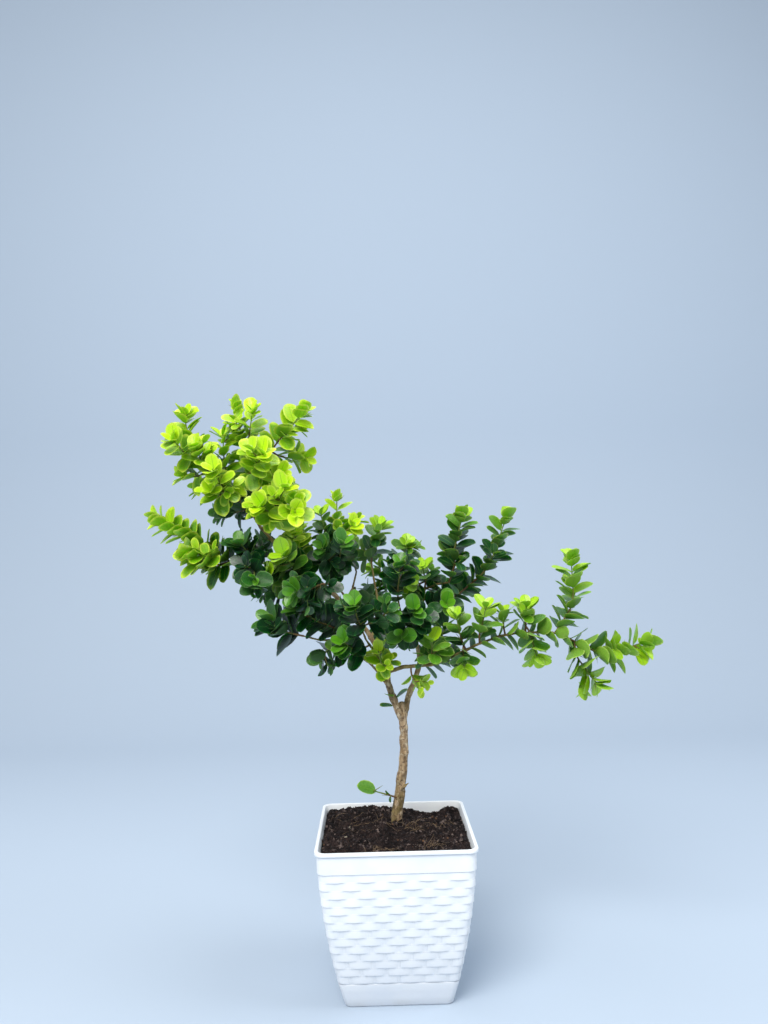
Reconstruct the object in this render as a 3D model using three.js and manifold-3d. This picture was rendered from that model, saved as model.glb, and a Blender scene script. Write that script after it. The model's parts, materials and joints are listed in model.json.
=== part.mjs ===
// A karonda bonsai (Carissa carandas) in a square planter with a basket-weave relief.
// Millimetres, +Z up. The origin is the centre of the pot's underside, and -Y faces the viewer.
import * as THREE from 'three';
import Module from 'manifold-3d';

const wasm = await Module();
wasm.setup();

// Pot
const POT_HEIGHT = 168;
const RIM_HALF = 85;
const RIM_DROP = 6.5;
const RIM_LAND = 4;
const BODY_TOP_HALF = 83;
const BODY_BASE_HALF = 57;
const BODY_BULGE = 1.75;
const WALL = 3;
const FLOOR = 4;
const CORNER_ROUND = 10;
const BASE_CHAMFER = 1.5;
const WEAVE_BOTTOM = 26;
const WEAVE_TOP = 145;
const WEAVE_ROWS = 14;
const WEAVE_COLUMNS = 8;
const WEAVE_RELIEF = 0.9;

// Soil
const SOIL_CLEARANCE = 0.35;
const SOIL_EDGE = 163;
const SOIL_ROUGHNESS = 1.6;
const SOIL_MOUND = { x: -12, y: 14, spread: 38, height: 9 };
const SOIL_DIP = { x: 46, y: 60, spread: 22, height: -9 };
const TRUNK_FOOT = 105;

const DEGREE = Math.PI / 180;

// Woody branches: how many sides a thick one and a thin one have, and the radius between the two
const LIMB_SIDES = 5;
const TWIG_SIDES = 4;
const TWIG_START_RADIUS = 2;

// Stems of the leafy shoots, and the gap that keeps each shoot off the wood
const STEM_BASE_RADIUS = 1.4;
const STEM_TIP_RADIUS = 0.9;
const STEM_ROLL = 45 * DEGREE;
const STEM_LEAD = 6;
const STEM_MIDDLE = 0.45;
const NODE_HEIGHT = 1.2;
const BARE_SHARE = 0.3;
const SEAT_GAP = 0.3;

// Leaves: LEAF_SHRINK is how much smaller they get towards the tip, and a leaf past YOUNG_SHARE is young
const BLADE_THICKNESS = 0.8;
const LEAF_RATIO = 0.74;
const LEAF_ARCH = 0.12;
const LEAF_RISE = 58 * DEGREE;
const LEAF_SHRINK = 0.12;
const LEAF_CLEARANCE = 0.25;
const LENGTH_JITTER = 1.2;
const RISE_JITTER = 7 * DEGREE;
const YOUNG_SHARE = 0.9;
const YOUNG_SIZE = 0.8;
const YOUNG_RISE = 38 * DEGREE;

// Spines: how far the point is out from the stem and forward along it, and at which pairs they grow
const SPINE_OUT = 8.8;
const SPINE_FORWARD = 6.6;
const SPINE_EVERY = 3;

const random = seededRandom(20);
const v3 = (x, y, z) => new THREE.Vector3(x, y, z);

function seededRandom(seed) {
  let state = seed;
  return () => {
    state = (state * 1664525 + 1013904223) % 4294967296;
    return state / 4294967296;
  };
}

const jitter = (amount) => (random() * 2 - 1) * amount;

// A closed mesh that is put together vertex by vertex.
class Shell {
  constructor() {
    this.positions = [];
    this.indices = [];
  }

  point(p) {
    this.positions.push(p.x, p.y, p.z);
    return this.positions.length / 3 - 1;
  }

  ring(points) {
    return points.map((p) => this.point(p));
  }

  quad(a, b, c, d) {
    this.indices.push(a, b, c, a, c, d);
  }

  // Joins two rings of as many points. Where other(i) is true, square i is split the other way.
  band(low, high, other = () => false) {
    low.forEach((a, i) => {
      const j = (i + 1) % low.length;
      if (other(i)) {
        this.quad(low[j], high[j], high[i], a);
      } else {
        this.quad(a, low[j], high[j], high[i]);
      }
    });
  }

  // Joins a coarse ring to a finer one, by how far round each point is.
  zip(low, lowTurns, high, highTurns) {
    let i = 0;
    let j = 0;
    const turn = (turns, k) => (k < turns.length ? turns[k] : 4);
    while (i < low.length || j < high.length) {
      const a = low[i % low.length];
      const b = high[j % high.length];
      if (j >= high.length || (i < low.length && turn(lowTurns, i + 1) <= turn(highTurns, j + 1))) {
        this.indices.push(a, low[(i + 1) % low.length], b);
        i += 1;
      } else {
        this.indices.push(a, high[(j + 1) % high.length], b);
        j += 1;
      }
    }
  }

  // Closes a ring that runs counter-clockwise seen from outside.
  cap(ring) {
    for (let i = 1; i + 1 < ring.length; i += 1) {
      this.indices.push(ring[0], ring[i], ring[i + 1]);
    }
  }

  capFromCentre(ring, centre) {
    const middle = this.point(centre);
    ring.forEach((a, i) => this.indices.push(a, ring[(i + 1) % ring.length], middle));
  }

  solid() {
    return new wasm.Manifold(new wasm.Mesh({
      numProp: 3,
      vertProperties: new Float32Array(this.positions),
      triVerts: new Uint32Array(this.indices),
    }));
  }
}

function geometryOf(solid) {
  const mesh = solid.getMesh();
  const geometry = new THREE.BufferGeometry();
  geometry.setAttribute('position', new THREE.BufferAttribute(mesh.vertProperties, 3));
  geometry.setIndex(new THREE.BufferAttribute(mesh.triVerts, 1));
  geometry.computeVertexNormals();
  return geometry;
}

function finish(name, solid, material) {
  const mesh = new THREE.Mesh(geometryOf(solid), material);
  mesh.name = name;
  return mesh;
}

const materials = {
  pot: new THREE.MeshStandardMaterial({ color: 0xe9edf2, roughness: 0.4, metalness: 0 }),
  soil: new THREE.MeshStandardMaterial({ color: 0x2e2624, roughness: 1, metalness: 0 }),
  bark: new THREE.MeshStandardMaterial({ color: 0x8a6a4c, roughness: 0.9, metalness: 0 }),
  dark: new THREE.MeshStandardMaterial({ color: 0x1f4a22, roughness: 0.35, metalness: 0 }),
  green: new THREE.MeshStandardMaterial({ color: 0x4f8a26, roughness: 0.4, metalness: 0 }),
  lime: new THREE.MeshStandardMaterial({ color: 0xa6cc1c, roughness: 0.45, metalness: 0 }),
};

// One ring of the pot or the soil: a square with rounded corners, counter-clockwise from above.
// The relief function pushes each point out along the side's normal.
function squareRing(half, round, z, columns, relief = () => 0) {
  const points = [];
  let index = 0;
  for (let side = 0; side < 4; side += 1) {
    const turn = side * 90 * DEGREE;
    const place = (along, out, angle) => {
      const push = relief(index);
      index += 1;
      const x = out + push * Math.cos(angle);
      const y = along + push * Math.sin(angle);
      points.push(v3(x * Math.cos(turn) - y * Math.sin(turn), x * Math.sin(turn) + y * Math.cos(turn), z));
    };
    const reach = half - round;
    for (let i = 0; i <= columns; i += 1) {
      place(-reach + (2 * reach * i) / columns, half, 0);
    }
    const corner = 45 * DEGREE;
    place(reach + round * Math.sin(corner), reach + round * Math.cos(corner), corner);
  }
  return points;
}

// How far round the square each point of such a ring is, in sides. The corner takes a fifth of a side.
function ringTurns(columns) {
  const straight = Array.from({ length: columns + 1 }, (_, i) => (0.8 * i) / columns);
  return [0, 1, 2, 3].flatMap((side) => [...straight, 0.9].map((share) => side + share));
}

const bodyHalf = (z) => {
  const depth = 1 - z / POT_HEIGHT;
  return BODY_TOP_HALF - (BODY_TOP_HALF - BODY_BASE_HALF) * depth ** BODY_BULGE;
};

const cornerRound = (half) => (CORNER_ROUND * half) / RIM_HALF;

const INNER_LEVELS = [POT_HEIGHT - RIM_DROP, 110, 60, 25, FLOOR];

const innerHalf = (z) => bodyHalf(z) - WALL;

// The outline runs up the outside, over the rim and down the inside. Only the woven rows need many columns.
function buildPot() {
  const pot = new Shell();
  const plain = (half, z) => pot.ring(squareRing(half, cornerRound(half), z, 1));
  const rowHeight = (WEAVE_TOP - WEAVE_BOTTOM) / WEAVE_ROWS;
  const rowRing = (row) => {
    const z = WEAVE_BOTTOM + rowHeight * (row + 0.5);
    const relief = (index) => ((index + row) % 2 ? WEAVE_RELIEF : -WEAVE_RELIEF);
    return pot.ring(squareRing(bodyHalf(z), cornerRound(bodyHalf(z)), z, WEAVE_COLUMNS, relief));
  };
  const underRim = POT_HEIGHT - RIM_DROP;
  const lower = [
    plain(bodyHalf(0) - BASE_CHAMFER, 0),
    plain(bodyHalf(BASE_CHAMFER), BASE_CHAMFER),
    plain(bodyHalf(WEAVE_BOTTOM), WEAVE_BOTTOM),
  ];
  const rows = Array.from({ length: WEAVE_ROWS }, (_, row) => rowRing(row));
  const upper = [
    plain(bodyHalf(WEAVE_TOP), WEAVE_TOP),
    plain(bodyHalf(underRim), underRim),
    plain(RIM_HALF, underRim + 1),
    plain(RIM_HALF, POT_HEIGHT - 1),
    plain(RIM_HALF - 1, POT_HEIGHT),
    plain(RIM_HALF - RIM_LAND, POT_HEIGHT),
    ...INNER_LEVELS.map((z) => plain(innerHalf(z), z)),
  ];
  [lower, upper].forEach((rings) => rings.slice(1).forEach((ring, i) => pot.band(rings[i], ring)));
  rows.slice(1).forEach((ring, row) => pot.band(rows[row], ring, (index) => (index + row) % 2 === 1));
  const plainTurns = ringTurns(1);
  const rowTurns = ringTurns(WEAVE_COLUMNS);
  pot.zip(lower[lower.length - 1], plainTurns, rows[0], rowTurns);
  pot.zip(rows[rows.length - 1], rowTurns, upper[0], plainTurns);
  pot.capFromCentre([...lower[0]].reverse(), v3(0, 0, 0));
  pot.capFromCentre(upper[upper.length - 1], v3(0, 0, FLOOR));
  return pot.solid();
}

function soilHeight(x, y) {
  const hill = (h) => h.height * Math.exp(-((x - h.x) ** 2 + (y - h.y) ** 2) / (2 * h.spread ** 2));
  return SOIL_EDGE + hill(SOIL_MOUND) + hill(SOIL_DIP);
}

function buildSoil() {
  const soil = new Shell();
  const columns = 3;
  const levels = [...INNER_LEVELS].reverse();
  levels[0] += SOIL_CLEARANCE;
  levels.pop();
  const wallRing = (z) => {
    const half = innerHalf(z) - SOIL_CLEARANCE;
    return squareRing(half, cornerRound(half), z, columns);
  };
  const rings = levels.map((z) => soil.ring(wallRing(z)));
  const edge = wallRing(POT_HEIGHT - RIM_DROP);
  const steps = 4;
  for (let step = 0; step < steps; step += 1) {
    const inward = 1 - step / steps;
    rings.push(soil.ring(edge.map((p) => {
      const x = p.x * inward;
      const y = p.y * inward;
      const rough = step === 0 ? 0 : jitter(SOIL_ROUGHNESS);
      const lift = step === 0 ? Math.min(soilHeight(x, y), POT_HEIGHT - RIM_DROP) : soilHeight(x, y);
      return v3(x, y, lift + rough);
    })));
  }
  for (let i = 0; i + 1 < rings.length; i += 1) {
    soil.band(rings[i], rings[i + 1]);
  }
  soil.capFromCentre([...rings[0]].reverse(), v3(0, 0, levels[0]));
  soil.capFromCentre(rings[rings.length - 1], v3(0, 0, soilHeight(0, 0)));
  return soil.solid();
}

// Frames along a curve that turn with it and don't spin.
function framesAlong(curve, parameters) {
  let normal = anyNormal(curve.getTangent(parameters[0]));
  return parameters.map((t) => {
    const tangent = curve.getTangent(t);
    normal = normal.clone().addScaledVector(tangent, -normal.dot(tangent)).normalize();
    return { point: curve.getPoint(t), tangent, normal, side: tangent.clone().cross(normal) };
  });
}

function anyNormal(direction) {
  const helper = Math.abs(direction.z) < 0.9 ? v3(0, 0, 1) : v3(1, 0, 0);
  return helper.cross(direction).normalize();
}

function roundRing(frame, radius, sides, turn = 0) {
  return Array.from({ length: sides }, (_, i) => {
    const angle = turn + (i / sides) * 2 * Math.PI;
    return frame.point.clone()
      .addScaledVector(frame.normal, radius * Math.cos(angle))
      .addScaledVector(frame.side, radius * Math.sin(angle));
  });
}

// Woody branches: the points each one runs through, and its radius at both ends.
// Each starts inside the branch that it grows from.
const branches = {
  trunk: {
    radius: [7.6, 4.4],
    sides: 7,
    points: [[2, 6, TRUNK_FOOT], [2, 6, 158], [3, 5, 178], [7, 4, 204], [11, 3, 229], [13, 1, 254],
      [13, 0, 276], [12, 0, 291]],
  },
  limb_left: {
    radius: [3.9, 1.7],
    points: [[13, 0, 280], [6, -2, 298], [0, -4, 314], [-4, -5, 328], [-7, -6, 349], [-14, -5, 364],
      [-25, 0, 383], [-34, 4, 396], [-51, 8, 415], [-68, 10, 432], [-85, 10, 447], [-102, 8, 462],
      [-129, 2, 487], [-145, -2, 506], [-156, -4, 525], [-155, -4, 544]],
  },
  limb_right: {
    radius: [3.4, 1.9],
    points: [[13, 2, 284], [19, 8, 309], [25, 12, 320], [30, 16, 334], [34, 20, 346], [31, 24, 368],
      [37, 26, 399], [38, 24, 410], [42, 18, 434]],
  },
  long_right: {
    radius: [2.2, 1.4],
    points: [[-5, -5, 339], [13, -16, 346], [45, -22, 349], [77, -24, 361], [94, -22, 369],
      [122, -18, 378], [145, -15, 381], [182, -10, 380], [199, -8, 374]],
  },
  arm_low_left: {
    radius: [1.9, 1.4],
    points: [[-30, 2, 390], [-43, -15, 381], [-58, -28, 379], [-77, -36, 380], [-96, -42, 386]],
  },
  arm_left: {
    radius: [1.9, 1.4],
    points: [[-85, 10, 447], [-101, 2, 449], [-123, -8, 456], [-144, -14, 460], [-166, -16, 462]],
  },
  crown_left: {
    radius: [1.8, 1.4],
    points: [[-156, -4, 528], [-169, -10, 537], [-186, -14, 548], [-201, -14, 562], [-212, -12, 577]],
  },
  crown_mid: { radius: [1.7, 1.4], points: [[-155, -4, 541], [-160, 0, 565], [-161, 4, 581]] },
  crown_right: {
    radius: [1.7, 1.4],
    points: [[-155, -4, 535], [-145, -2, 550], [-138, 4, 569], [-136, 8, 588]],
  },
  crown_back: {
    radius: [1.7, 1.4],
    points: [[-151, -3, 516], [-145, 14, 532], [-143, 34, 548], [-149, 52, 567]],
  },
  crown_front: {
    radius: [1.7, 1.4],
    points: [[-143, -2, 504], [-132, -18, 513], [-119, -34, 519], [-111, -46, 525]],
  },
  ridge_up: { radius: [1.8, 1.4], points: [[-68, 10, 432], [-62, 12, 453], [-58, 12, 472], [-59, 10, 489]] },
  ridge_back: { radius: [1.8, 1.4], points: [[-51, 8, 415], [-43, 30, 431], [-38, 52, 451], [-43, 70, 468]] },
  centre_up: {
    radius: [1.9, 1.4],
    points: [[-21, -2, 376], [-16, 10, 397], [-13, 20, 419], [-17, 26, 442], [-20, 28, 463]],
  },
  centre_front: {
    radius: [1.8, 1.4],
    points: [[-43, 6, 406], [-47, -16, 422], [-54, -38, 434], [-66, -56, 442]],
  },
  right_front: { radius: [1.7, 1.4], points: [[32, 22, 360], [23, 4, 383], [13, -14, 402], [9, -30, 421]] },
  right_back: { radius: [1.8, 1.4], points: [[37, 26, 394], [28, 46, 410], [17, 66, 428], [10, 84, 442]] },
  right_up: { radius: [1.7, 1.4], points: [[41, 19, 430], [57, 14, 436], [70, 8, 438]] },
  right_side: { radius: [1.7, 1.4], points: [[37, 25, 403], [54, 22, 413], [73, 20, 418], [83, 20, 425]] },
  low_front: {
    radius: [1.8, 1.4],
    points: [[-12, -5, 359], [-21, -24, 369], [-27, -44, 380], [-31, -62, 393]],
  },
  side_twig: {
    radius: [1.6, 1.4],
    points: [[-4, -6, 324], [-14, -14, 340], [-24, -20, 352], [-38, -26, 362]],
  },
};

const smoothCurve = (points) => new THREE.CatmullRomCurve3(points, false, 'centripetal');
const atLength = (curve, share) => curve.getUtoTmapping(share, 0);

for (const branch of Object.values(branches)) {
  const last = branch.points.length - 1;
  const places = branch.points.map((p) => v3(...p));
  branch.curve = smoothCurve(places);
  branch.radiusAt = (share) => THREE.MathUtils.lerp(...branch.radius, share);
  // The axis of the straight piece at a share of the way, which a shoot's foot is set against.
  branch.footAt = (share) => {
    const piece = Math.min(Math.floor(share * last), last - 1);
    const point = places[piece].clone().lerp(places[piece + 1], share * last - piece);
    const along = places[piece + 1].clone().sub(places[piece]).normalize();
    return { point, along: share >= 1 ? branch.curve.getTangent(1) : along, radius: branch.radiusAt(share) };
  };
}

// The rings of a branch, one at each of its points, with its radius raised by extra.
function branchRings(branch, extra = 0) {
  const last = branch.points.length - 1;
  const sides = branch.sides ?? (branch.radius[0] < TWIG_START_RADIUS ? TWIG_SIDES : LIMB_SIDES);
  const frames = framesAlong(branch.curve, branch.points.map((_, i) => i / last));
  return frames.map((frame, i) => roundRing(frame, branch.radiusAt(i / last) + extra, sides));
}

// Small solids that a new stem or leaf has to keep clear of, each with a ball around it.
const obstacles = [];

function ballAround(solid) {
  const { min, max } = solid.boundingBox();
  const low = v3(...min);
  const high = v3(...max);
  return { centre: low.clone().lerp(high, 0.5), reach: low.distanceTo(high) / 2 };
}

function addObstacle(solid, owner) {
  obstacles.push({ solid, owner, ...ballAround(solid) });
}

// True where the solid meets an obstacle, other than those that the skip function names.
function meetsAny(solid, skip) {
  const { centre, reach } = ballAround(solid);
  return obstacles.some((other) => {
    if (skip(other) || other.centre.distanceTo(centre) > other.reach + reach) {
      return false;
    }
    const shared = solid.intersect(other.solid);
    const meets = shared.volume() > 0;
    shared.delete();
    return meets;
  });
}

function loftSolid(sections) {
  const shell = new Shell();
  const rings = sections.map((points) => shell.ring(points));
  for (let i = 0; i + 1 < rings.length; i += 1) {
    shell.band(rings[i], rings[i + 1]);
  }
  shell.cap([...rings[0]].reverse());
  shell.cap(rings[rings.length - 1]);
  return shell.solid();
}

// The blade's stations: distance from the stem and width, as shares of length and full width.
// After the last one it thins out to an edge at its blunt tip.
const BLADE_STATIONS = [{ reach: 0.3, width: 0.8 }, { reach: 0.7, width: 1 }];
const BLADE_TIP = { reach: 1, width: 0.48 };

// Four corners of the blade at one station, in the order of the stem face that it grows from.
function bladeSection(leaf, reach, width, extra = 0) {
  const middle = leaf.root.clone()
    .addScaledVector(leaf.axis, reach * leaf.length)
    .addScaledVector(leaf.up, -LEAF_ARCH * leaf.length * reach ** 2);
  const half = (leaf.length * LEAF_RATIO * width) / 2 + extra;
  const thick = BLADE_THICKNESS / 2 + extra;
  return [[-half, -thick], [half, -thick], [half, thick], [-half, thick]].map(([across, high]) => (
    middle.clone().addScaledVector(leaf.across, across).addScaledVector(leaf.up, high)));
}

function bladeTestSolid(leaf) {
  const root = bladeSection(leaf, 0.05, 0.24, LEAF_CLEARANCE);
  const rest = [...BLADE_STATIONS, BLADE_TIP].map(({ reach, width }) => (
    bladeSection(leaf, reach, width, LEAF_CLEARANCE)));
  return loftSolid([root, ...rest]);
}

// Ways to turn or shrink a leaf until it hangs clear of its neighbours, the plain way first.
const leafTrials = [];
for (const size of [1, 0.86, 0.72]) {
  for (const yaw of [0, 20, -20]) {
    for (const rise of [0, -14, 14, -28, 28]) {
      leafTrials.push({ size, yaw: yaw * DEGREE, rise: rise * DEGREE });
    }
  }
}

// The directions across a face of the stem and straight out of it.
function faceDirections(corners, tangent) {
  const across = corners[1].clone().sub(corners[0]).normalize();
  return { across, out: across.clone().cross(tangent).normalize() };
}

// Finds a leaf that grows clear from a face of the stem, or null.
function fitLeaf(corners, tangent, length, rise, name) {
  const root = corners[0].clone().lerp(corners[2], 0.5);
  const { across, out } = faceDirections(corners, tangent);
  for (const trial of leafTrials) {
    const angle = rise + trial.rise;
    const axis = tangent.clone().multiplyScalar(Math.cos(angle)).addScaledVector(out, Math.sin(angle));
    axis.applyAxisAngle(tangent, trial.yaw);
    const wide = across.clone().applyAxisAngle(tangent, trial.yaw);
    const leaf = { root, axis, across: wide, up: axis.clone().cross(wide), length: length * trial.size };
    const solid = bladeTestSolid(leaf);
    if (!meetsAny(solid, (other) => other.owner === name)) {
      addObstacle(solid, 'leaf');
      return leaf;
    }
    solid.delete();
  }
  return null;
}

const stemRadius = (u) => THREE.MathUtils.lerp(STEM_BASE_RADIUS, STEM_TIP_RADIUS, u);

// Detours for a stem whose straight way is blocked, as shares of its length.
const detours = [[0, 0, -0.08], [0, 0, 0.12], [0, -0.2, 0], [0, 0.2, 0], [-0.2, 0, 0], [0.2, 0, 0],
  [0, -0.35, 0.1], [0, 0.35, 0.1], [0.3, 0, 0.15], [-0.3, 0, 0.15], [0, 0, 0.4], [0, 0, -0.4]];

// The way of one stem to its tip. It starts just outside the branch that carries it, but on the very
// axis of the stem that a fork is fused to.
function routeTwig(name, twig) {
  const tip = v3(...twig.tip);
  const { parent } = twig;
  const { point: foot, along, radius } = parent.footAt(twig.at);
  const continues = twig.at >= 1;
  const first = twig.via ? v3(...twig.via) : foot.clone().lerp(tip, 0.5);
  const away = first.clone().sub(foot).normalize();
  const square = away.clone().addScaledVector(along, -away.dot(along)).normalize();
  const start = foot.clone();
  if (continues) {
    start.addScaledVector(along, SEAT_GAP);
  } else if (!parent.fused) {
    start.addScaledVector(square, radius + SEAT_GAP);
  }
  const length = start.distanceTo(tip);
  const lead = start.clone().addScaledVector(continues ? along : square, Math.min(STEM_LEAD, length / 4));
  for (const detour of detours) {
    const middle = twig.via ? first.clone() : lead.clone().lerp(tip, STEM_MIDDLE);
    middle.add(v3(...detour).multiplyScalar(length));
    const curve = smoothCurve([start, lead, middle, tip]);
    const { rings } = stemRings(twig, curve);
    const pieces = rings.slice(1).map((ring, i) => loftSolid([rings[i], ring]));
    if (!pieces.some((piece) => meetsAny(piece, (other) => other.owner === parent.fused))) {
      pieces.forEach((piece) => addObstacle(piece, name));
      return curve;
    }
  }
  throw new Error(`No clear way for ${name}`);
}

// Where along a stem its rings are, as shares of its length: two at each leaf node, and the two ends.
function stemStations(twig, curve) {
  const halfNode = NODE_HEIGHT / 2 / curve.getLength();
  const lastNode = 1 - 2.5 * halfNode;
  const step = (lastNode - BARE_SHARE) / (twig.pairs - 1);
  const nodes = Array.from({ length: twig.pairs }, (_, i) => BARE_SHARE + step * i);
  return { nodes, stations: [0, ...nodes.flatMap((u) => [u - halfNode, u + halfNode]), 1] };
}

function stemRings(twig, curve) {
  const { stations } = stemStations(twig, curve);
  const frames = framesAlong(curve, stations.map((u) => atLength(curve, u)));
  const rings = frames.map((frame, i) => roundRing(frame, stemRadius(stations[i]), 4, STEM_ROLL));
  return { frames, rings };
}

// The axis of the straight piece of a stem at a share of its length, which a side stem grows from.
function footOnStem(twig, curve, share) {
  const { stations } = stemStations(twig, curve);
  const next = stations.findIndex((u) => u > share);
  const [low, high] = [stations[next - 1], stations[next]];
  const [start, end] = [low, high].map((u) => curve.getPoint(atLength(curve, u)));
  const point = start.clone().lerp(end, (share - low) / (high - low));
  return { point, along: end.sub(start).normalize(), radius: stemRadius(share) };
}

// A leafy twig as one closed shell: a four-sided stem, and at each of its nodes a pair of opposite
// leaves on two of its faces, each pair turned by a right angle, with spines on the other two.
function growTwig(name, twig, curve) {
  const shell = new Shell();
  const { nodes } = stemStations(twig, curve);
  const { frames, rings: corners } = stemRings(twig, curve);
  const rings = corners.map((points) => shell.ring(points));
  shell.cap([...rings[0]].reverse());
  shell.band(rings[0], rings[1]);
  nodes.forEach((u, node) => {
    const low = 1 + 2 * node;
    const high = low + 1;
    const { tangent } = frames[low];
    for (let face = 0; face < 4; face += 1) {
      const next = (face + 1) % 4;
      const around = [rings[low][face], rings[low][next], rings[high][next], rings[high][face]];
      const places = [corners[low][face], corners[low][next], corners[high][next], corners[high][face]];
      const leafy = (face + node) % 2 === 0;
      const spiny = !leafy && node % SPINE_EVERY === 0;
      const leaf = leafy && fitLeaf(places, tangent, leafLength(twig, u), leafRise(u), name);
      const spine = spiny && fitSpine(places, tangent, name);
      if (leaf) {
        addBlade(shell, around, leaf);
      } else if (spine) {
        shell.capFromCentre(around, spine);
      } else {
        shell.cap(around);
      }
    }
    shell.band(rings[high], rings[high + 1]);
  });
  shell.cap(rings[rings.length - 1]);
  return shell.solid();
}

function leafLength(twig, u) {
  return twig.leaf * (u > YOUNG_SHARE ? YOUNG_SIZE : 1 - LEAF_SHRINK * u) + jitter(LENGTH_JITTER);
}

function leafRise(u) {
  return (u > YOUNG_SHARE ? YOUNG_RISE : LEAF_RISE) + jitter(RISE_JITTER);
}

function addBlade(shell, around, leaf) {
  let last = around;
  for (const { reach, width } of BLADE_STATIONS) {
    const ring = shell.ring(bladeSection(leaf, reach, width));
    shell.band(last, ring);
    last = ring;
  }
  const tip = bladeSection(leaf, BLADE_TIP.reach, BLADE_TIP.width);
  const [left, right] = shell.ring([tip[0].lerp(tip[3], 0.5), tip[1].lerp(tip[2], 0.5)]);
  shell.quad(last[0], last[1], right, left);
  shell.quad(last[3], left, right, last[2]);
  shell.indices.push(last[1], last[2], right, last[3], last[0], left);
}

// The point of a spine that grows clear from a face of the stem, or null.
function fitSpine(corners, tangent, name) {
  const { out } = faceDirections(corners, tangent);
  const point = corners[0].clone().lerp(corners[2], 0.5)
    .addScaledVector(out, SPINE_OUT)
    .addScaledVector(tangent, SPINE_FORWARD);
  const root = corners.map((p) => p.clone().addScaledVector(out, SEAT_GAP));
  const end = corners.map((p) => point.clone().addScaledVector(p.clone().sub(corners[0]), SEAT_GAP));
  const solid = loftSolid([root, end]);
  if (meetsAny(solid, (other) => other.owner === name)) {
    return null;
  }
  addObstacle(solid, 'spine');
  return point;
}

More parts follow.
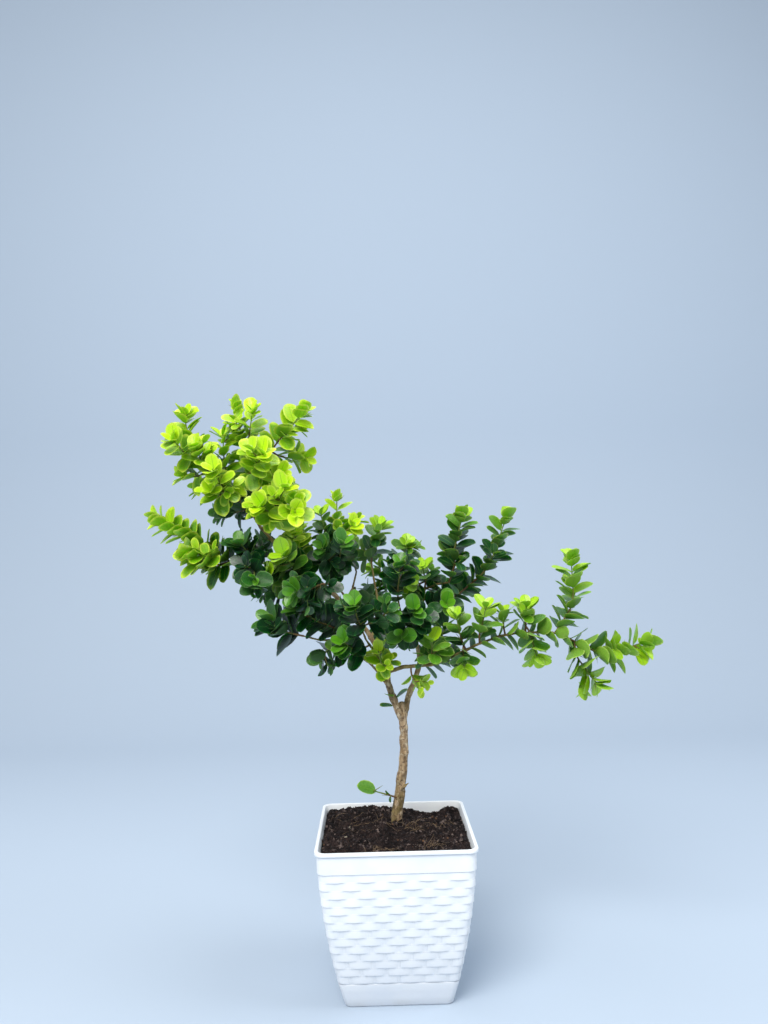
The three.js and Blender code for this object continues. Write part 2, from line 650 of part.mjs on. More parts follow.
// Leafy shoots. Each row gives the branch it grows from and how far along, where its tip is, how many
// pairs of leaves it has, how long they are, and its colour. Rows under forks grow from the shoot itself.
const shoots = {
  crown_01: { on: 'crown_left', at: 1, tip: [-228, -10, 633], pairs: 4, leaf: 24, tone: 'lime',
    forks: [{ at: 0.15, tip: [-231, -48, 601], pairs: 3 }] },
  crown_02: { on: 'crown_left', at: 0.7, tip: [-209, -40, 593], pairs: 3, leaf: 25, tone: 'lime' },
  crown_03: { on: 'crown_left', at: 0.52, tip: [-185, -8, 610], pairs: 3, leaf: 23, tone: 'lime' },
  crown_04: { on: 'crown_mid', at: 1, tip: [-170, 0, 643], pairs: 4, leaf: 24, tone: 'lime',
    forks: [{ at: 0.25, tip: [-149, -24, 634], pairs: 3 }] },
  crown_05: { on: 'crown_right', at: 1, tip: [-95, 4, 638], via: [-121, 8, 613], pairs: 4, leaf: 25,
    tone: 'lime', forks: [{ at: 0.1, tip: [-105, 30, 589], pairs: 3 }] },
  crown_06: { on: 'crown_mid', at: 0.5, tip: [-134, -58, 583], pairs: 3, leaf: 26, tone: 'lime' },
  crown_07: { on: 'crown_right', at: 0.5, tip: [-118, -34, 563], pairs: 3, leaf: 26, tone: 'lime' },
  crown_08: { on: 'crown_front', at: 0.5, tip: [-111, -60, 545], pairs: 3, leaf: 26, tone: 'lime' },
  crown_09: { on: 'crown_left', at: 0.4, tip: [-186, -62, 566], pairs: 3, leaf: 25, tone: 'lime',
    forks: [{ at: 0.3, tip: [-190, -52, 545], pairs: 2 }] },
  crown_10: { on: 'crown_left', at: 0.85, tip: [-224, -20, 565], pairs: 3, leaf: 23, tone: 'lime' },
  crown_11: { on: 'crown_back', at: 1, tip: [-180, 78, 579], pairs: 3, leaf: 25, tone: 'green' },
  crown_12: { on: 'crown_front', at: 0.75, tip: [-134, -66, 526], pairs: 3, leaf: 26, tone: 'lime' },
  crown_13: { on: 'crown_front', at: 1, tip: [-99, -74, 519], pairs: 3, leaf: 26, tone: 'lime' },
  crown_14: { on: 'crown_back', at: 0.75, tip: [-121, 50, 549], pairs: 3, leaf: 25, tone: 'green' },
  crown_15: { on: 'crown_back', at: 0.5, tip: [-222, 40, 555], pairs: 3, leaf: 24, tone: 'green' },
  crown_16: { on: 'limb_left', at: 0.94, tip: [-193, 22, 524], pairs: 3, leaf: 23, tone: 'dark' },
  west_01: { on: 'arm_left', at: 1, tip: [-259, -10, 517], via: [-204, -14, 491], pairs: 6, leaf: 21,
    tone: 'lime', forks: [{ at: 0.12, tip: [-218, -36, 475], pairs: 4, leaf: 26 }] },
  west_02: { on: 'arm_left', at: 0.82, tip: [-162, -30, 486], pairs: 2, leaf: 26, tone: 'dark',
    forks: [{ at: 0.3, tip: [-144, -62, 451], pairs: 2 }] },
  west_03: { on: 'limb_left', at: 0.82, tip: [-162, 30, 486], pairs: 3, leaf: 22, tone: 'dark' },
  west_04: { on: 'limb_left', at: 0.7, tip: [-114, -48, 473], pairs: 3, leaf: 25, tone: 'green',
    forks: [{ at: 0.4, tip: [-133, -46, 456], pairs: 2 }] },
  west_05: { on: 'limb_left', at: 0.76, tip: [-105, -20, 498], pairs: 3, leaf: 23, tone: 'lime' },
  west_06: { on: 'limb_left', at: 0.66, tip: [-150, 40, 433], pairs: 3, leaf: 24, tone: 'dark' },
  west_07: { on: 'arm_low_left', at: 1, tip: [-128, -50, 402], pairs: 3, leaf: 27, tone: 'dark' },
  west_08: { on: 'arm_low_left', at: 0.6, tip: [-76, -24, 360], pairs: 2, leaf: 22, tone: 'dark' },
  west_09: { on: 'arm_low_left', at: 0.35, tip: [-99, -56, 418], pairs: 3, leaf: 25, tone: 'dark' },
  west_10: { on: 'limb_left', at: 0.72, tip: [-105, 55, 503], pairs: 3, leaf: 24, tone: 'green' },
  ridge_01: { on: 'ridge_up', at: 0.5, tip: [-73, -34, 480], pairs: 3, leaf: 24, tone: 'dark',
    forks: [{ at: 0.35, tip: [-49, -52, 485], pairs: 3 }] },
  ridge_02: { on: 'ridge_up', at: 0.8, tip: [-76, -4, 519], pairs: 3, leaf: 22, tone: 'green' },
  ridge_03: { on: 'ridge_up', at: 1, tip: [-58, 10, 536], pairs: 4, leaf: 22, tone: 'lime',
    forks: [{ at: 0.2, tip: [-41, -8, 505], pairs: 3 }] },
  ridge_04: { on: 'centre_up', at: 1, tip: [-8, 24, 502], pairs: 3, leaf: 24, tone: 'green',
    forks: [{ at: 0.15, tip: [-39, 60, 480], pairs: 3 }] },
  ridge_05: { on: 'right_back', at: 1, tip: [25, 70, 482], pairs: 3, leaf: 23, tone: 'green',
    forks: [{ at: 0.1, tip: [-19, 100, 452], pairs: 3 }] },
  ridge_06: { on: 'ridge_back', at: 1, tip: [-71, 95, 484], pairs: 3, leaf: 24, tone: 'dark' },
  ridge_07: { on: 'right_front', at: 1, tip: [11, -52, 459], pairs: 3, leaf: 24, tone: 'dark' },
  centre_01: { on: 'limb_right', at: 1, tip: [39, 4, 455], pairs: 3, leaf: 22, tone: 'green',
    forks: [{ at: 0.2, tip: [18, -4, 436], pairs: 2 }] },
  centre_02: { on: 'centre_front', at: 1, tip: [-99, -78, 435], pairs: 3, leaf: 25, tone: 'dark' },
  centre_03: { on: 'low_front', at: 1, tip: [-38, -86, 420], pairs: 3, leaf: 25, tone: 'dark',
    forks: [{ at: 0.15, tip: [-5, -70, 411], pairs: 3 }] },
  centre_04: { on: 'right_front', at: 0.5, tip: [26, -46, 411], pairs: 3, leaf: 26, tone: 'dark',
    forks: [{ at: 0.2, tip: [12, -40, 385], pairs: 2 }] },
  centre_05: { on: 'limb_left', at: 0.25, tip: [-14, -46, 367], pairs: 3, leaf: 21, tone: 'lime' },
  centre_06: { on: 'low_front', at: 0.45, tip: [-50, -60, 379], pairs: 3, leaf: 26, tone: 'dark' },
  centre_07: { on: 'ridge_back', at: 0.4, tip: [-16, 85, 415], pairs: 3, leaf: 24, tone: 'dark' },
  centre_08: { on: 'limb_left', at: 0.52, tip: [-102, 70, 418], pairs: 3, leaf: 24, tone: 'dark' },
  centre_09: { on: 'centre_up', at: 0.2, tip: [7, 70, 375], pairs: 3, leaf: 24, tone: 'dark' },
  side_01: { on: 'side_twig', at: 1, tip: [-62, -36, 372], pairs: 2, leaf: 20, tone: 'green' },
  east_01: { on: 'right_side', at: 0.4, tip: [64, -12, 414], pairs: 3, leaf: 24, tone: 'dark' },
  east_02: { on: 'right_side', at: 0.8, tip: [91, 50, 429], pairs: 3, leaf: 24, tone: 'dark' },
  east_03: { on: 'right_up', at: 1, tip: [85, -4, 513], via: [75, 4, 475], pairs: 6, leaf: 21,
    tone: 'green' },
  east_04: { on: 'right_side', at: 1, tip: [138, 14, 511], via: [114, 18, 461], pairs: 6, leaf: 21,
    tone: 'green' },
  east_05: { on: 'long_right', at: 0.26, tip: [45, -34, 377], pairs: 3, leaf: 24, tone: 'green' },
  east_06: { on: 'limb_right', at: 0.45, tip: [67, 50, 382], pairs: 3, leaf: 24, tone: 'dark' },
  east_07: { on: 'long_right', at: 0.16, tip: [30, -26, 322], pairs: 2, leaf: 16, tone: 'lime' },
  east_08: { on: 'long_right', at: 0.42, tip: [73, -30, 400], pairs: 4, leaf: 24, tone: 'green',
    forks: [{ at: 0.12, tip: [78, -50, 349], pairs: 2 }] },
  east_09: { on: 'long_right', at: 0.52, tip: [105, -34, 411], pairs: 4, leaf: 24, tone: 'green' },
  east_10: { on: 'long_right', at: 0.66, tip: [128, -8, 401], pairs: 3, leaf: 22, tone: 'green' },
  east_11: { on: 'long_right', at: 0.77, tip: [151, -24, 409], pairs: 3, leaf: 24, tone: 'green',
    forks: [{ at: 0.2, tip: [159, -34, 358], pairs: 2 }] },
  east_12: { on: 'long_right', at: 0.9, tip: [208, -4, 461], via: [206, -6, 415], pairs: 6, leaf: 21,
    tone: 'green' },
  east_13: { on: 'long_right', at: 1, tip: [288, -10, 367], via: [239, -6, 362], pairs: 6, leaf: 22,
    tone: 'green', forks: [{ at: 0.1, tip: [230, -14, 322], pairs: 4 }] },
  trunk_01: { on: 'trunk', at: 0.5, tip: [-21, -12, 218], pairs: 2, leaf: 18, tone: 'green' },
};

const tree = new THREE.Group();

// The trunk and branches, and the hole that the trunk stands in.
let wood = null;
for (const [name, branch] of Object.entries(branches)) {
  const rings = branchRings(branch);
  rings.slice(1).forEach((ring, i) => addObstacle(loftSolid([rings[i], ring]), name));
  wood = wood ? wood.add(loftSolid(rings)) : loftSolid(rings);
}
const trunkHole = loftSolid(branchRings(branches.trunk, SOIL_CLEARANCE));
tree.add(finish('pot', buildPot(), materials.pot));
tree.add(finish('soil', buildSoil().subtract(trunkHole), materials.soil));
tree.add(finish('wood', wood, materials.bark));

// All stems are routed before any leaf is placed, so that leaves give way to stems.
const twigs = [];
for (const [name, shoot] of Object.entries(shoots)) {
  const main = { ...shoot, name, node: name, parent: branches[shoot.on] };
  main.curve = routeTwig(name, main);
  twigs.push(main);
  (shoot.forks ?? []).forEach((fork, i) => {
    const twig = { leaf: shoot.leaf, ...fork, name: `${name}_fork${i}`, node: name };
    twig.parent = { fused: name, footAt: (share) => footOnStem(main, main.curve, share) };
    twig.curve = routeTwig(twig.name, twig);
    twigs.push(twig);
  });
}

for (const [name, shoot] of Object.entries(shoots)) {
  const own = twigs.filter((twig) => twig.node === name);
  const grown = own.map((twig) => growTwig(twig.name, twig, twig.curve));
  tree.add(finish(`shoot_${name}`, wasm.Manifold.union(grown), materials[shoot.tone]));
}

export default tree;
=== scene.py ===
# %% [markdown]
# # A karonda bonsai in a woven pot
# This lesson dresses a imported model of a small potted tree. The model already has every form at its
# real size: a square pot, its soil, the bare wood, and 57 leafy shoots with flat faceted leaves. Blender
# gives each of them its real surface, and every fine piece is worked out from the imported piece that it
# stands for, so the tree keeps its size and its lean.

import json
import math
import random

import bmesh
import bpy
import numpy as np
from mathutils import Matrix, Vector, noise
from mathutils.bvhtree import BVHTree

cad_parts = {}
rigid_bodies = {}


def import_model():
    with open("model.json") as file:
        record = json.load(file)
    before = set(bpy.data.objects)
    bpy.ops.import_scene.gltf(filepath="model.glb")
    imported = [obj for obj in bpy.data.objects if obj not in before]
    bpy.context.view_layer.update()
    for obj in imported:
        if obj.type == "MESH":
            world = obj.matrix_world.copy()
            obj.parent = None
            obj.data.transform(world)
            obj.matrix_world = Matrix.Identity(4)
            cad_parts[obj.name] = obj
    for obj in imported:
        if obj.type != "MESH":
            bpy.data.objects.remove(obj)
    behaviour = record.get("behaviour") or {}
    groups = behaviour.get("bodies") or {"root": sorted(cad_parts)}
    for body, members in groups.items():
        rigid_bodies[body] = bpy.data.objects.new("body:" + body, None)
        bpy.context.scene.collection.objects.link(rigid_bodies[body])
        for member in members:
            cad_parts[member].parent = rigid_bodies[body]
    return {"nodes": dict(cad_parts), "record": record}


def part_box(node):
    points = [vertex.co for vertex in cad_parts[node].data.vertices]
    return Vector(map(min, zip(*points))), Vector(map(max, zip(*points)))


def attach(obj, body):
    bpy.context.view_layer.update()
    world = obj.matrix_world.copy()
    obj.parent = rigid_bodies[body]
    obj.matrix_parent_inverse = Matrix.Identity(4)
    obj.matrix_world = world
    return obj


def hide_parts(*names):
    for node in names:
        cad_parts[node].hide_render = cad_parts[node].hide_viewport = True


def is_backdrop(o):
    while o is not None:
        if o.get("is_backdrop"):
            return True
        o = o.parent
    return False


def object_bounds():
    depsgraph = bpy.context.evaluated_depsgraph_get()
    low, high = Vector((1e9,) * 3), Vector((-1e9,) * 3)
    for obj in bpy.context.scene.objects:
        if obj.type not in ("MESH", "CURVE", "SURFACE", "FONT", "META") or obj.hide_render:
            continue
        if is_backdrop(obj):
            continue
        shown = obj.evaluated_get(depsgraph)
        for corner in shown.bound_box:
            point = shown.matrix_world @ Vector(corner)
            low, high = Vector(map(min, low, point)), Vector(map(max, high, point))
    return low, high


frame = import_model()
cad_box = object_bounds()
nodes = frame["nodes"]
shoot_names = sorted(name for name in nodes if name.startswith("shoot_"))
slot_of = {part["node"]: part["material_slot"] for part in frame["record"]["subparts"]}
MM = 0.001
print(f"{len(nodes)} packed nodes, {len(shoot_names)} of them leafy shoots")

# %% [markdown]
# ## Small helpers
# Geometry trees and materials are both graphs of nodes. One helper adds a node and fills in its inputs,
# whether with a number or with another node's output. Another runs a geometry tree on a piece and keeps
# the result as a plain mesh, so that no modifier is left for the later steps to trip over.

# %% Add a node, or a maths node
def wire(tree, kind, values=None, **settings):
    """Adds a node to a tree, and links or sets the inputs that values names."""
    node = tree.nodes.new(kind)
    for name, value in settings.items():
        setattr(node, name, value)
    for socket, value in (values or {}).items():
        if isinstance(value, bpy.types.NodeSocket):
            tree.links.new(value, node.inputs[socket])
        else:
            node.inputs[socket].default_value = value
    return node


def calc(tree, operation, a, b=0.0, c=0.0):
    """One maths node, whose terms are numbers or outputs."""
    return wire(tree, "ShaderNodeMath", {0: a, 1: b, 2: c}, operation=operation).outputs[0]


def mult(tree, a, b):
    """One number or output times another."""
    return calc(tree, "MULTIPLY", a, b)


def ramp(tree, value, low, high):
    """Rises smoothly from 0 to 1 while value goes from low to high."""
    values = {"Value": value, "From Min": low, "From Max": high}
    return wire(tree, "ShaderNodeMapRange", values, interpolation_type="SMOOTHSTEP").outputs[0]


def scaled(tree, vector, factor):
    """A vector made longer or shorter by a number or an output."""
    return wire(tree, "ShaderNodeVectorMath", {0: vector, "Scale": factor}, operation="SCALE").outputs[0]


def upward(tree, vector):
    """How far a place is up, or how far a direction points up."""
    return wire(tree, "ShaderNodeSeparateXYZ", {0: vector}).outputs["Z"]


# %% Build a geometry tree, and run one
def geometry_tree(name, inputs):
    """A geometry tree with a named input for each (label, kind), and the outputs of its input node."""
    tree = bpy.data.node_groups.new(name, "GeometryNodeTree")
    for label, kind in [("Geometry", "Geometry"), *inputs]:
        tree.interface.new_socket(label, in_out="INPUT", socket_type=f"NodeSocket{kind}")
    tree.interface.new_socket("Geometry", in_out="OUTPUT", socket_type="NodeSocketGeometry")
    return tree, wire(tree, "NodeGroupInput").outputs


def floats(*labels):
    """Inputs of a geometry tree that are plain numbers."""
    return [(label, "Float") for label in labels]


def attribute(tree, name, kind="FLOAT"):
    return wire(tree, "GeometryNodeInputNamedAttribute", {"Name": name}, data_type=kind).outputs[0]


def grow(piece, tree, values):
    """Runs a geometry tree on a piece and makes the result its plain mesh."""
    modifier = piece.modifiers.new(tree.name, "NODES")
    modifier.node_group = tree
    for item in tree.interface.items_tree:
        if item.in_out == "INPUT" and item.name in values:
            modifier[item.identifier] = values[item.name]
    depsgraph = bpy.context.evaluated_depsgraph_get()
    shape = bpy.data.meshes.new_from_object(
        piece.evaluated_get(depsgraph), preserve_all_data_layers=True, depsgraph=depsgraph)
    piece.modifiers.clear()
    piece.data = shape


# %% Pieces, and what is written on them
def new_piece(name, points, edges=(), faces=()):
    """An object at the origin, whose place is in its mesh."""
    shape = bpy.data.meshes.new(name)
    shape.from_pydata([tuple(p) for p in points], list(edges), list(faces))
    piece = bpy.data.objects.new(name, shape)
    bpy.context.scene.collection.objects.link(piece)
    return piece


def write_attribute(piece, name, kind, values):
    layer = piece.data.attributes.new(name, kind, "POINT")
    field = "vector" if kind == "FLOAT_VECTOR" else "value"
    layer.data.foreach_set(field, np.asarray(values, np.float32).ravel())


def hidden_collection(name, meshes):
    """A collection of shapes to copy from, which isn't in the scene."""
    store = bpy.data.collections.new(name)
    for i, shape in enumerate(meshes):
        store.objects.link(bpy.data.objects.new(f"{name}_{i}", shape))
    return store


def triangles(piece):
    return sum(len(face.vertices) - 2 for face in piece.data.polygons)


def dress(piece, material):
    """Gives a piece one material in place of any other."""
    piece.data.materials.clear()
    piece.data.materials.append(material)
    print(f"{piece.name} wears {material.name}")


def faces_to_hit(shape):
    """The faces of a mesh, sorted so that rays and nearest points are found quickly."""
    return BVHTree.FromPolygons([v.co for v in shape.vertices], [f.vertices for f in shape.polygons])


# %% Tubes, copies and a finish, for several geometry trees
def tubes_along(tree, lines, sides):
    """Round tubes along curves, as thick as the girth that is written on their points."""
    circle = wire(tree, "GeometryNodeCurvePrimitiveCircle", {"Resolution": sides, "Radius": 1.0})
    return wire(tree, "GeometryNodeCurveToMesh", {
        "Curve": lines.outputs[0], "Profile Curve": circle.outputs["Curve"],
        "Scale": attribute(tree, "girth"), "Fill Caps": True}).outputs[0]


def copies_at(tree, points, store, kind, turn, size):
    """Real copies of the shapes in a store, one at each point, with its own kind, turn and size."""
    shapes = wire(tree, "GeometryNodeCollectionInfo", {
        "Collection": store, "Separate Children": True, "Reset Children": True})
    copies = wire(tree, "GeometryNodeInstanceOnPoints", {
        "Points": points, "Instance": shapes.outputs[0], "Pick Instance": True,
        "Instance Index": kind, "Rotation": turn, "Scale": size})
    return wire(tree, "GeometryNodeRealizeInstances", {"Geometry": copies.outputs[0]}).outputs[0]


def finished(tree, geometry, finish):
    return wire(tree, "GeometryNodeSetMaterial", {"Geometry": geometry, "Material": finish}).outputs[0]


# %% [markdown]
# ## Camera, backdrop and light
# The photograph is taken from a little above the pot's rim, almost straight on, with a wide lens held
# slightly askew. The camera was worked out from the corners of the pot's rim and base. The stage is a
# plain sweep of pale paper that runs up behind the plant, and wide soft lamps stand in for an open sky.

# %% Camera
CAMERA_PLACE = Vector((-17, -945, 478)) * MM
CAMERA_TURN = math.radians(0.79)
CAMERA_TILT = math.radians(2.55)
CAMERA_ROLL = math.radians(-1.28)
CAMERA_LENS = 29.1
SENSOR_WIDTH = 36

forward = Vector((math.sin(CAMERA_TURN) * math.cos(CAMERA_TILT),
                  math.cos(CAMERA_TURN) * math.cos(CAMERA_TILT),
                  math.sin(CAMERA_TILT)))
level = Vector((math.cos(CAMERA_TURN), -math.sin(CAMERA_TURN), 0))
upright = level.cross(forward)
camera_right = level * math.cos(CAMERA_ROLL) + upright * math.sin(CAMERA_ROLL)
camera_up = upright * math.cos(CAMERA_ROLL) - level * math.sin(CAMERA_ROLL)
camera = bpy.data.objects.new("camera", bpy.data.cameras.new("camera"))
camera.data.lens = CAMERA_LENS
camera.data.sensor_width = SENSOR_WIDTH
turn = Matrix((camera_right, camera_up, -forward)).transposed()
camera.matrix_world = Matrix.Translation(CAMERA_PLACE) @ turn.to_4x4()
bpy.context.scene.collection.objects.link(camera)
bpy.context.scene.camera = camera
print("camera looks along", [round(x, 3) for x in forward])


# %% Backdrop
SWEEP_FRONT = -3.0
SWEEP_BACK = 1.1
SWEEP_BEND = 0.9
SWEEP_TOP = 4.0
SWEEP_HALF_WIDTH = 5.0
BEND_STEPS = 24
PAPER_COLOUR = (0.44, 0.52, 0.62, 1)
PAPER_ROUGHNESS = 0.9

profile = [(SWEEP_FRONT, 0.0)]
for step in range(BEND_STEPS + 1):
    angle = math.pi / 2 * step / BEND_STEPS
    profile.append((SWEEP_BACK + SWEEP_BEND * math.sin(angle), SWEEP_BEND * (1 - math.cos(angle))))
profile.append((SWEEP_BACK + SWEEP_BEND, SWEEP_TOP))
sweep_points = [(x, y, z) for y, z in profile for x in (-SWEEP_HALF_WIDTH, SWEEP_HALF_WIDTH)]
sweep_faces = [(2 * i, 2 * i + 1, 2 * i + 3, 2 * i + 2) for i in range(len(profile) - 1)]
backdrop = new_piece("backdrop", sweep_points, faces=sweep_faces)
backdrop.data.shade_smooth()
paper = bpy.data.materials.new("paper")
paper.use_nodes = True
paper_shader = paper.node_tree.nodes["Principled BSDF"]
paper_shader.inputs["Base Color"].default_value = PAPER_COLOUR
paper_shader.inputs["Roughness"].default_value = PAPER_ROUGHNESS
backdrop.data.materials.append(paper)
backdrop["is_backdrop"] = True
print(f"backdrop: {triangles(backdrop)} triangles")


# %% Lamps
def softbox(name, place, target, width, power, colour):
    """A square area lamp that points from its place at the target."""
    data = bpy.data.lights.new(name, "AREA")
    data.shape = "SQUARE"
    data.size = width
    data.energy = power
    data.color = colour
    lamp = bpy.data.objects.new(name, data)
    lamp.location = place
    lamp.rotation_euler = (Vector(target) - Vector(place)).to_track_quat("-Z", "Y").to_euler()
    bpy.context.scene.collection.objects.link(lamp)


TREE_MIDDLE = (0, 0, 0.36)
DAYLIGHT_COLOUR = (0.82, 0.90, 1.0, 1)
DAYLIGHT_STRENGTH = 0.45
softbox("sky_front", (-0.9, -1.9, 2.5), TREE_MIDDLE, 1.7, 99, (1.0, 0.975, 0.93))
softbox("sky_right", (2.0, -0.4, 2.1), TREE_MIDDLE, 1.4, 26, (0.96, 0.985, 1.0))
softbox("sky_top", (-0.2, -0.1, 2.7), TREE_MIDDLE, 1.5, 22, (1.0, 0.995, 0.98))
world = bpy.data.worlds.new("daylight")
world.use_nodes = True
sky = world.node_tree.nodes["Background"]
sky.inputs["Color"].default_value = DAYLIGHT_COLOUR
sky.inputs["Strength"].default_value = DAYLIGHT_STRENGTH
bpy.context.scene.world = world
bpy.context.scene.view_settings.view_transform = "Standard"
print("three lamps and an even daylight")

# %% [markdown]
# ## The pot
# The real pot is one moulding of white plastic. Its sides imitate a basket: fourteen rows of strands go
# over one upright stake and under the next, and each row is half a step out from the row below. Modelling
# seventy bumps a side by hand would be slow, and a bump map would leave the outline straight. So the
# walls are rings of points that know their own place in the weave, and a geometry tree turns that place
# into a push outwards. The lower lip of each strand is where the pot gets its dark dashes from: its own
# shadow, deepened by painted shade in the material.

# %% Pot sizes
POT_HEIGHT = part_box("pot")[1].z
RIM_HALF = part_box("pot")[1].x
RIM_DROP = 6.5 * MM
BODY_TOP_HALF = 83 * MM
BODY_BASE_HALF = 57 * MM
BODY_BULGE = 1.75
CORNER_ROUND = 10 * MM
WALL = 3 * MM
POT_FLOOR = 4 * MM
WEAVE_BOTTOM = 27 * MM
WEAVE_TOP = 145 * MM
WEAVE_ROWS = 14
STAKES = 10
COLUMNS = 8 * STAKES
ROW_SHARES = (0.0, 0.07, 0.2, 0.4, 0.6, 0.8)
print(f"pot {POT_HEIGHT / MM:.0f} mm tall, {2 * RIM_HALF / MM:.0f} mm across the rim")


def body_half(z):
    """Half the pot's width at a height: it bulges a little on its way in to the base."""
    depth = 1 - z / POT_HEIGHT
    return BODY_TOP_HALF - (BODY_TOP_HALF - BODY_BASE_HALF) * depth ** BODY_BULGE


# %% A ring of points round a square with rounded corners
def square_ring(half, z):
    """Evenly spaced points from the middle of one corner right round, and which way is out at each."""
    corner = CORNER_ROUND * half / RIM_HALF
    reach = half - corner
    bend = corner * math.pi / 4
    side = 2 * reach + 2 * bend
    points = []
    outward = []
    for quarter in range(4):
        turn = Matrix.Rotation(quarter * math.pi / 2, 3, "Z")
        for column in range(COLUMNS):
            way = side * column / COLUMNS
            before = min(0.0, way - bend) / corner
            after = max(0.0, way - bend - 2 * reach) / corner
            angle = before + after
            along = min(max(way - bend, 0.0), 2 * reach) - reach
            out = Vector((math.cos(angle), math.sin(angle), 0))
            points.append(turn @ (Vector((reach, along, z)) + out * corner))
            outward.append(turn @ out)
    return points, outward


def ring_faces(first, second, count):
    return [(first + i, first + (i + 1) % count, second + (i + 1) % count, second + i) for i in range(count)]


# %% The rings of the pot, from its foot up, over the rim and down the inside
pot_rings = []


def add_ring(half, z, row=-1, share=0.0):
    """Notes one ring. Its row counts the strands from the bottom, and is -1 off the weave."""
    pot_rings.append((half, z, row, share))


# Each pair: how far a ring stands out from the pot's plain side, and how high it is, in millimetres.
FOOT_RINGS = ((-1.6, 0), (-0.9, 0.2), (-0.3, 0.8), (0, 1.6), (0, 9), (0, 17), (0.3, 25.2), (0.15, 25.8),
              (-0.7, 26.0))
BAND_RINGS = ((0.2, 145.5), (0.6, 145.7), (0.6, 146.5), (0.3, 153), (0.1, 160.0), (0.0, 163.2),
              (-0.7, 163.6))
# Each pair: how far a ring is in from the rim's widest line, and how far up from the rim's underside.
RIM_RINGS = ((2.9, 3.1), (0.3, 2.95), (0.05, 3.1), (0, 3.4), (0, 5.9), (0.15, 6.3), (0.6, 6.48), (1.6, 6.5),
             (2.8, 6.45), (3.5, 6.0), (3.8, 5.0))
UNDER_RIM = POT_HEIGHT - RIM_DROP
INSIDE_HEIGHTS = (UNDER_RIM, 140 * MM, 110 * MM, 60 * MM, 25 * MM, POT_FLOOR)
for proud, z in FOOT_RINGS:
    add_ring(body_half(z * MM) + proud * MM, z * MM)
row_height = (WEAVE_TOP - WEAVE_BOTTOM) / WEAVE_ROWS
for row in range(WEAVE_ROWS + 1):
    for share in ROW_SHARES if row < WEAVE_ROWS else ROW_SHARES[:1]:
        z = WEAVE_BOTTOM + (row + share) * row_height
        add_ring(body_half(z), z, row, share)
for proud, z in BAND_RINGS:
    add_ring(body_half(z * MM) + proud * MM, z * MM)
for inset, lift in RIM_RINGS:
    add_ring(RIM_HALF - inset * MM, UNDER_RIM + lift * MM)
for z in INSIDE_HEIGHTS:
    add_ring(body_half(z) - WALL, z)
print(f"{len(pot_rings)} rings of {4 * COLUMNS} points")

# %% The plain shell, and what each point knows of the weave
ring_size = 4 * COLUMNS
pot_points = []
pot_outward = []
for half, z, row, share in pot_rings:
    points, outward = square_ring(half, z)
    pot_points += points
    pot_outward += outward
pot_faces = []
for i in range(len(pot_rings) - 1):
    pot_faces += ring_faces(i * ring_size, (i + 1) * ring_size, ring_size)
last_ring = (len(pot_rings) - 1) * ring_size
base_centre = len(pot_points)
pot_points += [Vector((0, 0, 0)), Vector((0, 0, POT_FLOOR))]
pot_outward += [Vector((0, 0, 0))] * 2
for i in range(ring_size):
    after = (i + 1) % ring_size
    pot_faces.append((after, i, base_centre))
    pot_faces.append((last_ring + i, last_ring + after, base_centre + 1))
pot = new_piece("woven_pot", pot_points, faces=pot_faces)
turns = [i * STAKES / COLUMNS for i in range(ring_size)]
write_attribute(pot, "turn", "FLOAT", turns * len(pot_rings) + [0, 0])
write_attribute(pot, "row", "FLOAT", [r[2] for r in pot_rings for _ in range(ring_size)] + [-1, -1])
write_attribute(pot, "share", "FLOAT", [r[3] for r in pot_rings for _ in range(ring_size)] + [0, 0])
write_attribute(pot, "outward", "FLOAT_VECTOR", pot_outward)
print(f"plain pot: {triangles(pot)} triangles")


# %% The weave as a geometry tree
def weave_tree():
    """Pushes each point of a woven row out by how far its strand stands off the wall there."""
    tree, given = geometry_tree("Basket weave", floats(
        "Relief", "Recess", "Fall", "Top narrowness", "Base narrowness", "Rows"))
    turn, row, share = (attribute(tree, name) for name in ("turn", "row", "share"))
    wave = calc(tree, "COSINE", mult(tree, calc(tree, "ADD", turn, row), math.pi))
    height = calc(tree, "DIVIDE", row, given["Rows"])
    narrowness = calc(tree, "MULTIPLY_ADD", calc(tree, "SUBTRACT", given["Top narrowness"],
                                                given["Base narrowness"]), height, given["Base narrowness"])
    own = calc(tree, "POWER", calc(tree, "MULTIPLY_ADD", wave, 0.5, 0.5), narrowness)
    below = calc(tree, "POWER", calc(tree, "MULTIPLY_ADD", wave, -0.5, 0.5), narrowness)
    has_below = calc(tree, "GREATER_THAN", row, 0.5)
    kept = calc(tree, "SUBTRACT", 1.0, mult(tree, given["Fall"], ramp(tree, share, 0.1, 1.0)))
    own_push = mult(tree, own, kept)
    top_of_below = mult(tree, calc(tree, "SUBTRACT", 1.0, given["Fall"]),
                        mult(tree, below, has_below))
    on_strand = calc(tree, "GREATER_THAN", share, 0.01)
    strand = calc(tree, "ADD", mult(tree, own_push, on_strand),
                  mult(tree, top_of_below, calc(tree, "SUBTRACT", 1.0, on_strand)))
    push = calc(tree, "SUBTRACT", mult(tree, strand, given["Relief"]), given["Recess"])
    offset = scaled(tree, attribute(tree, "outward", "FLOAT_VECTOR"), push)
    woven = calc(tree, "GREATER_THAN", row, -0.5)
    moved = wire(tree, "GeometryNodeSetPosition",
                 {"Geometry": given["Geometry"], "Selection": woven, "Offset": offset}).outputs[0]
    wire(tree, "NodeGroupOutput", {"Geometry": moved})
    return tree


# %% Grow the pot's weave
def smooth_by_angle(piece, degrees):
    """Shades a piece smooth, and keeps the edges that are sharper than the angle crisp."""
    work = bmesh.new()
    work.from_mesh(piece.data)
    for edge in work.edges:
        edge.smooth = len(edge.link_faces) == 2 and edge.calc_face_angle(0) < math.radians(degrees)
    for face in work.faces:
        face.smooth = True
    work.to_mesh(piece.data)
    work.free()


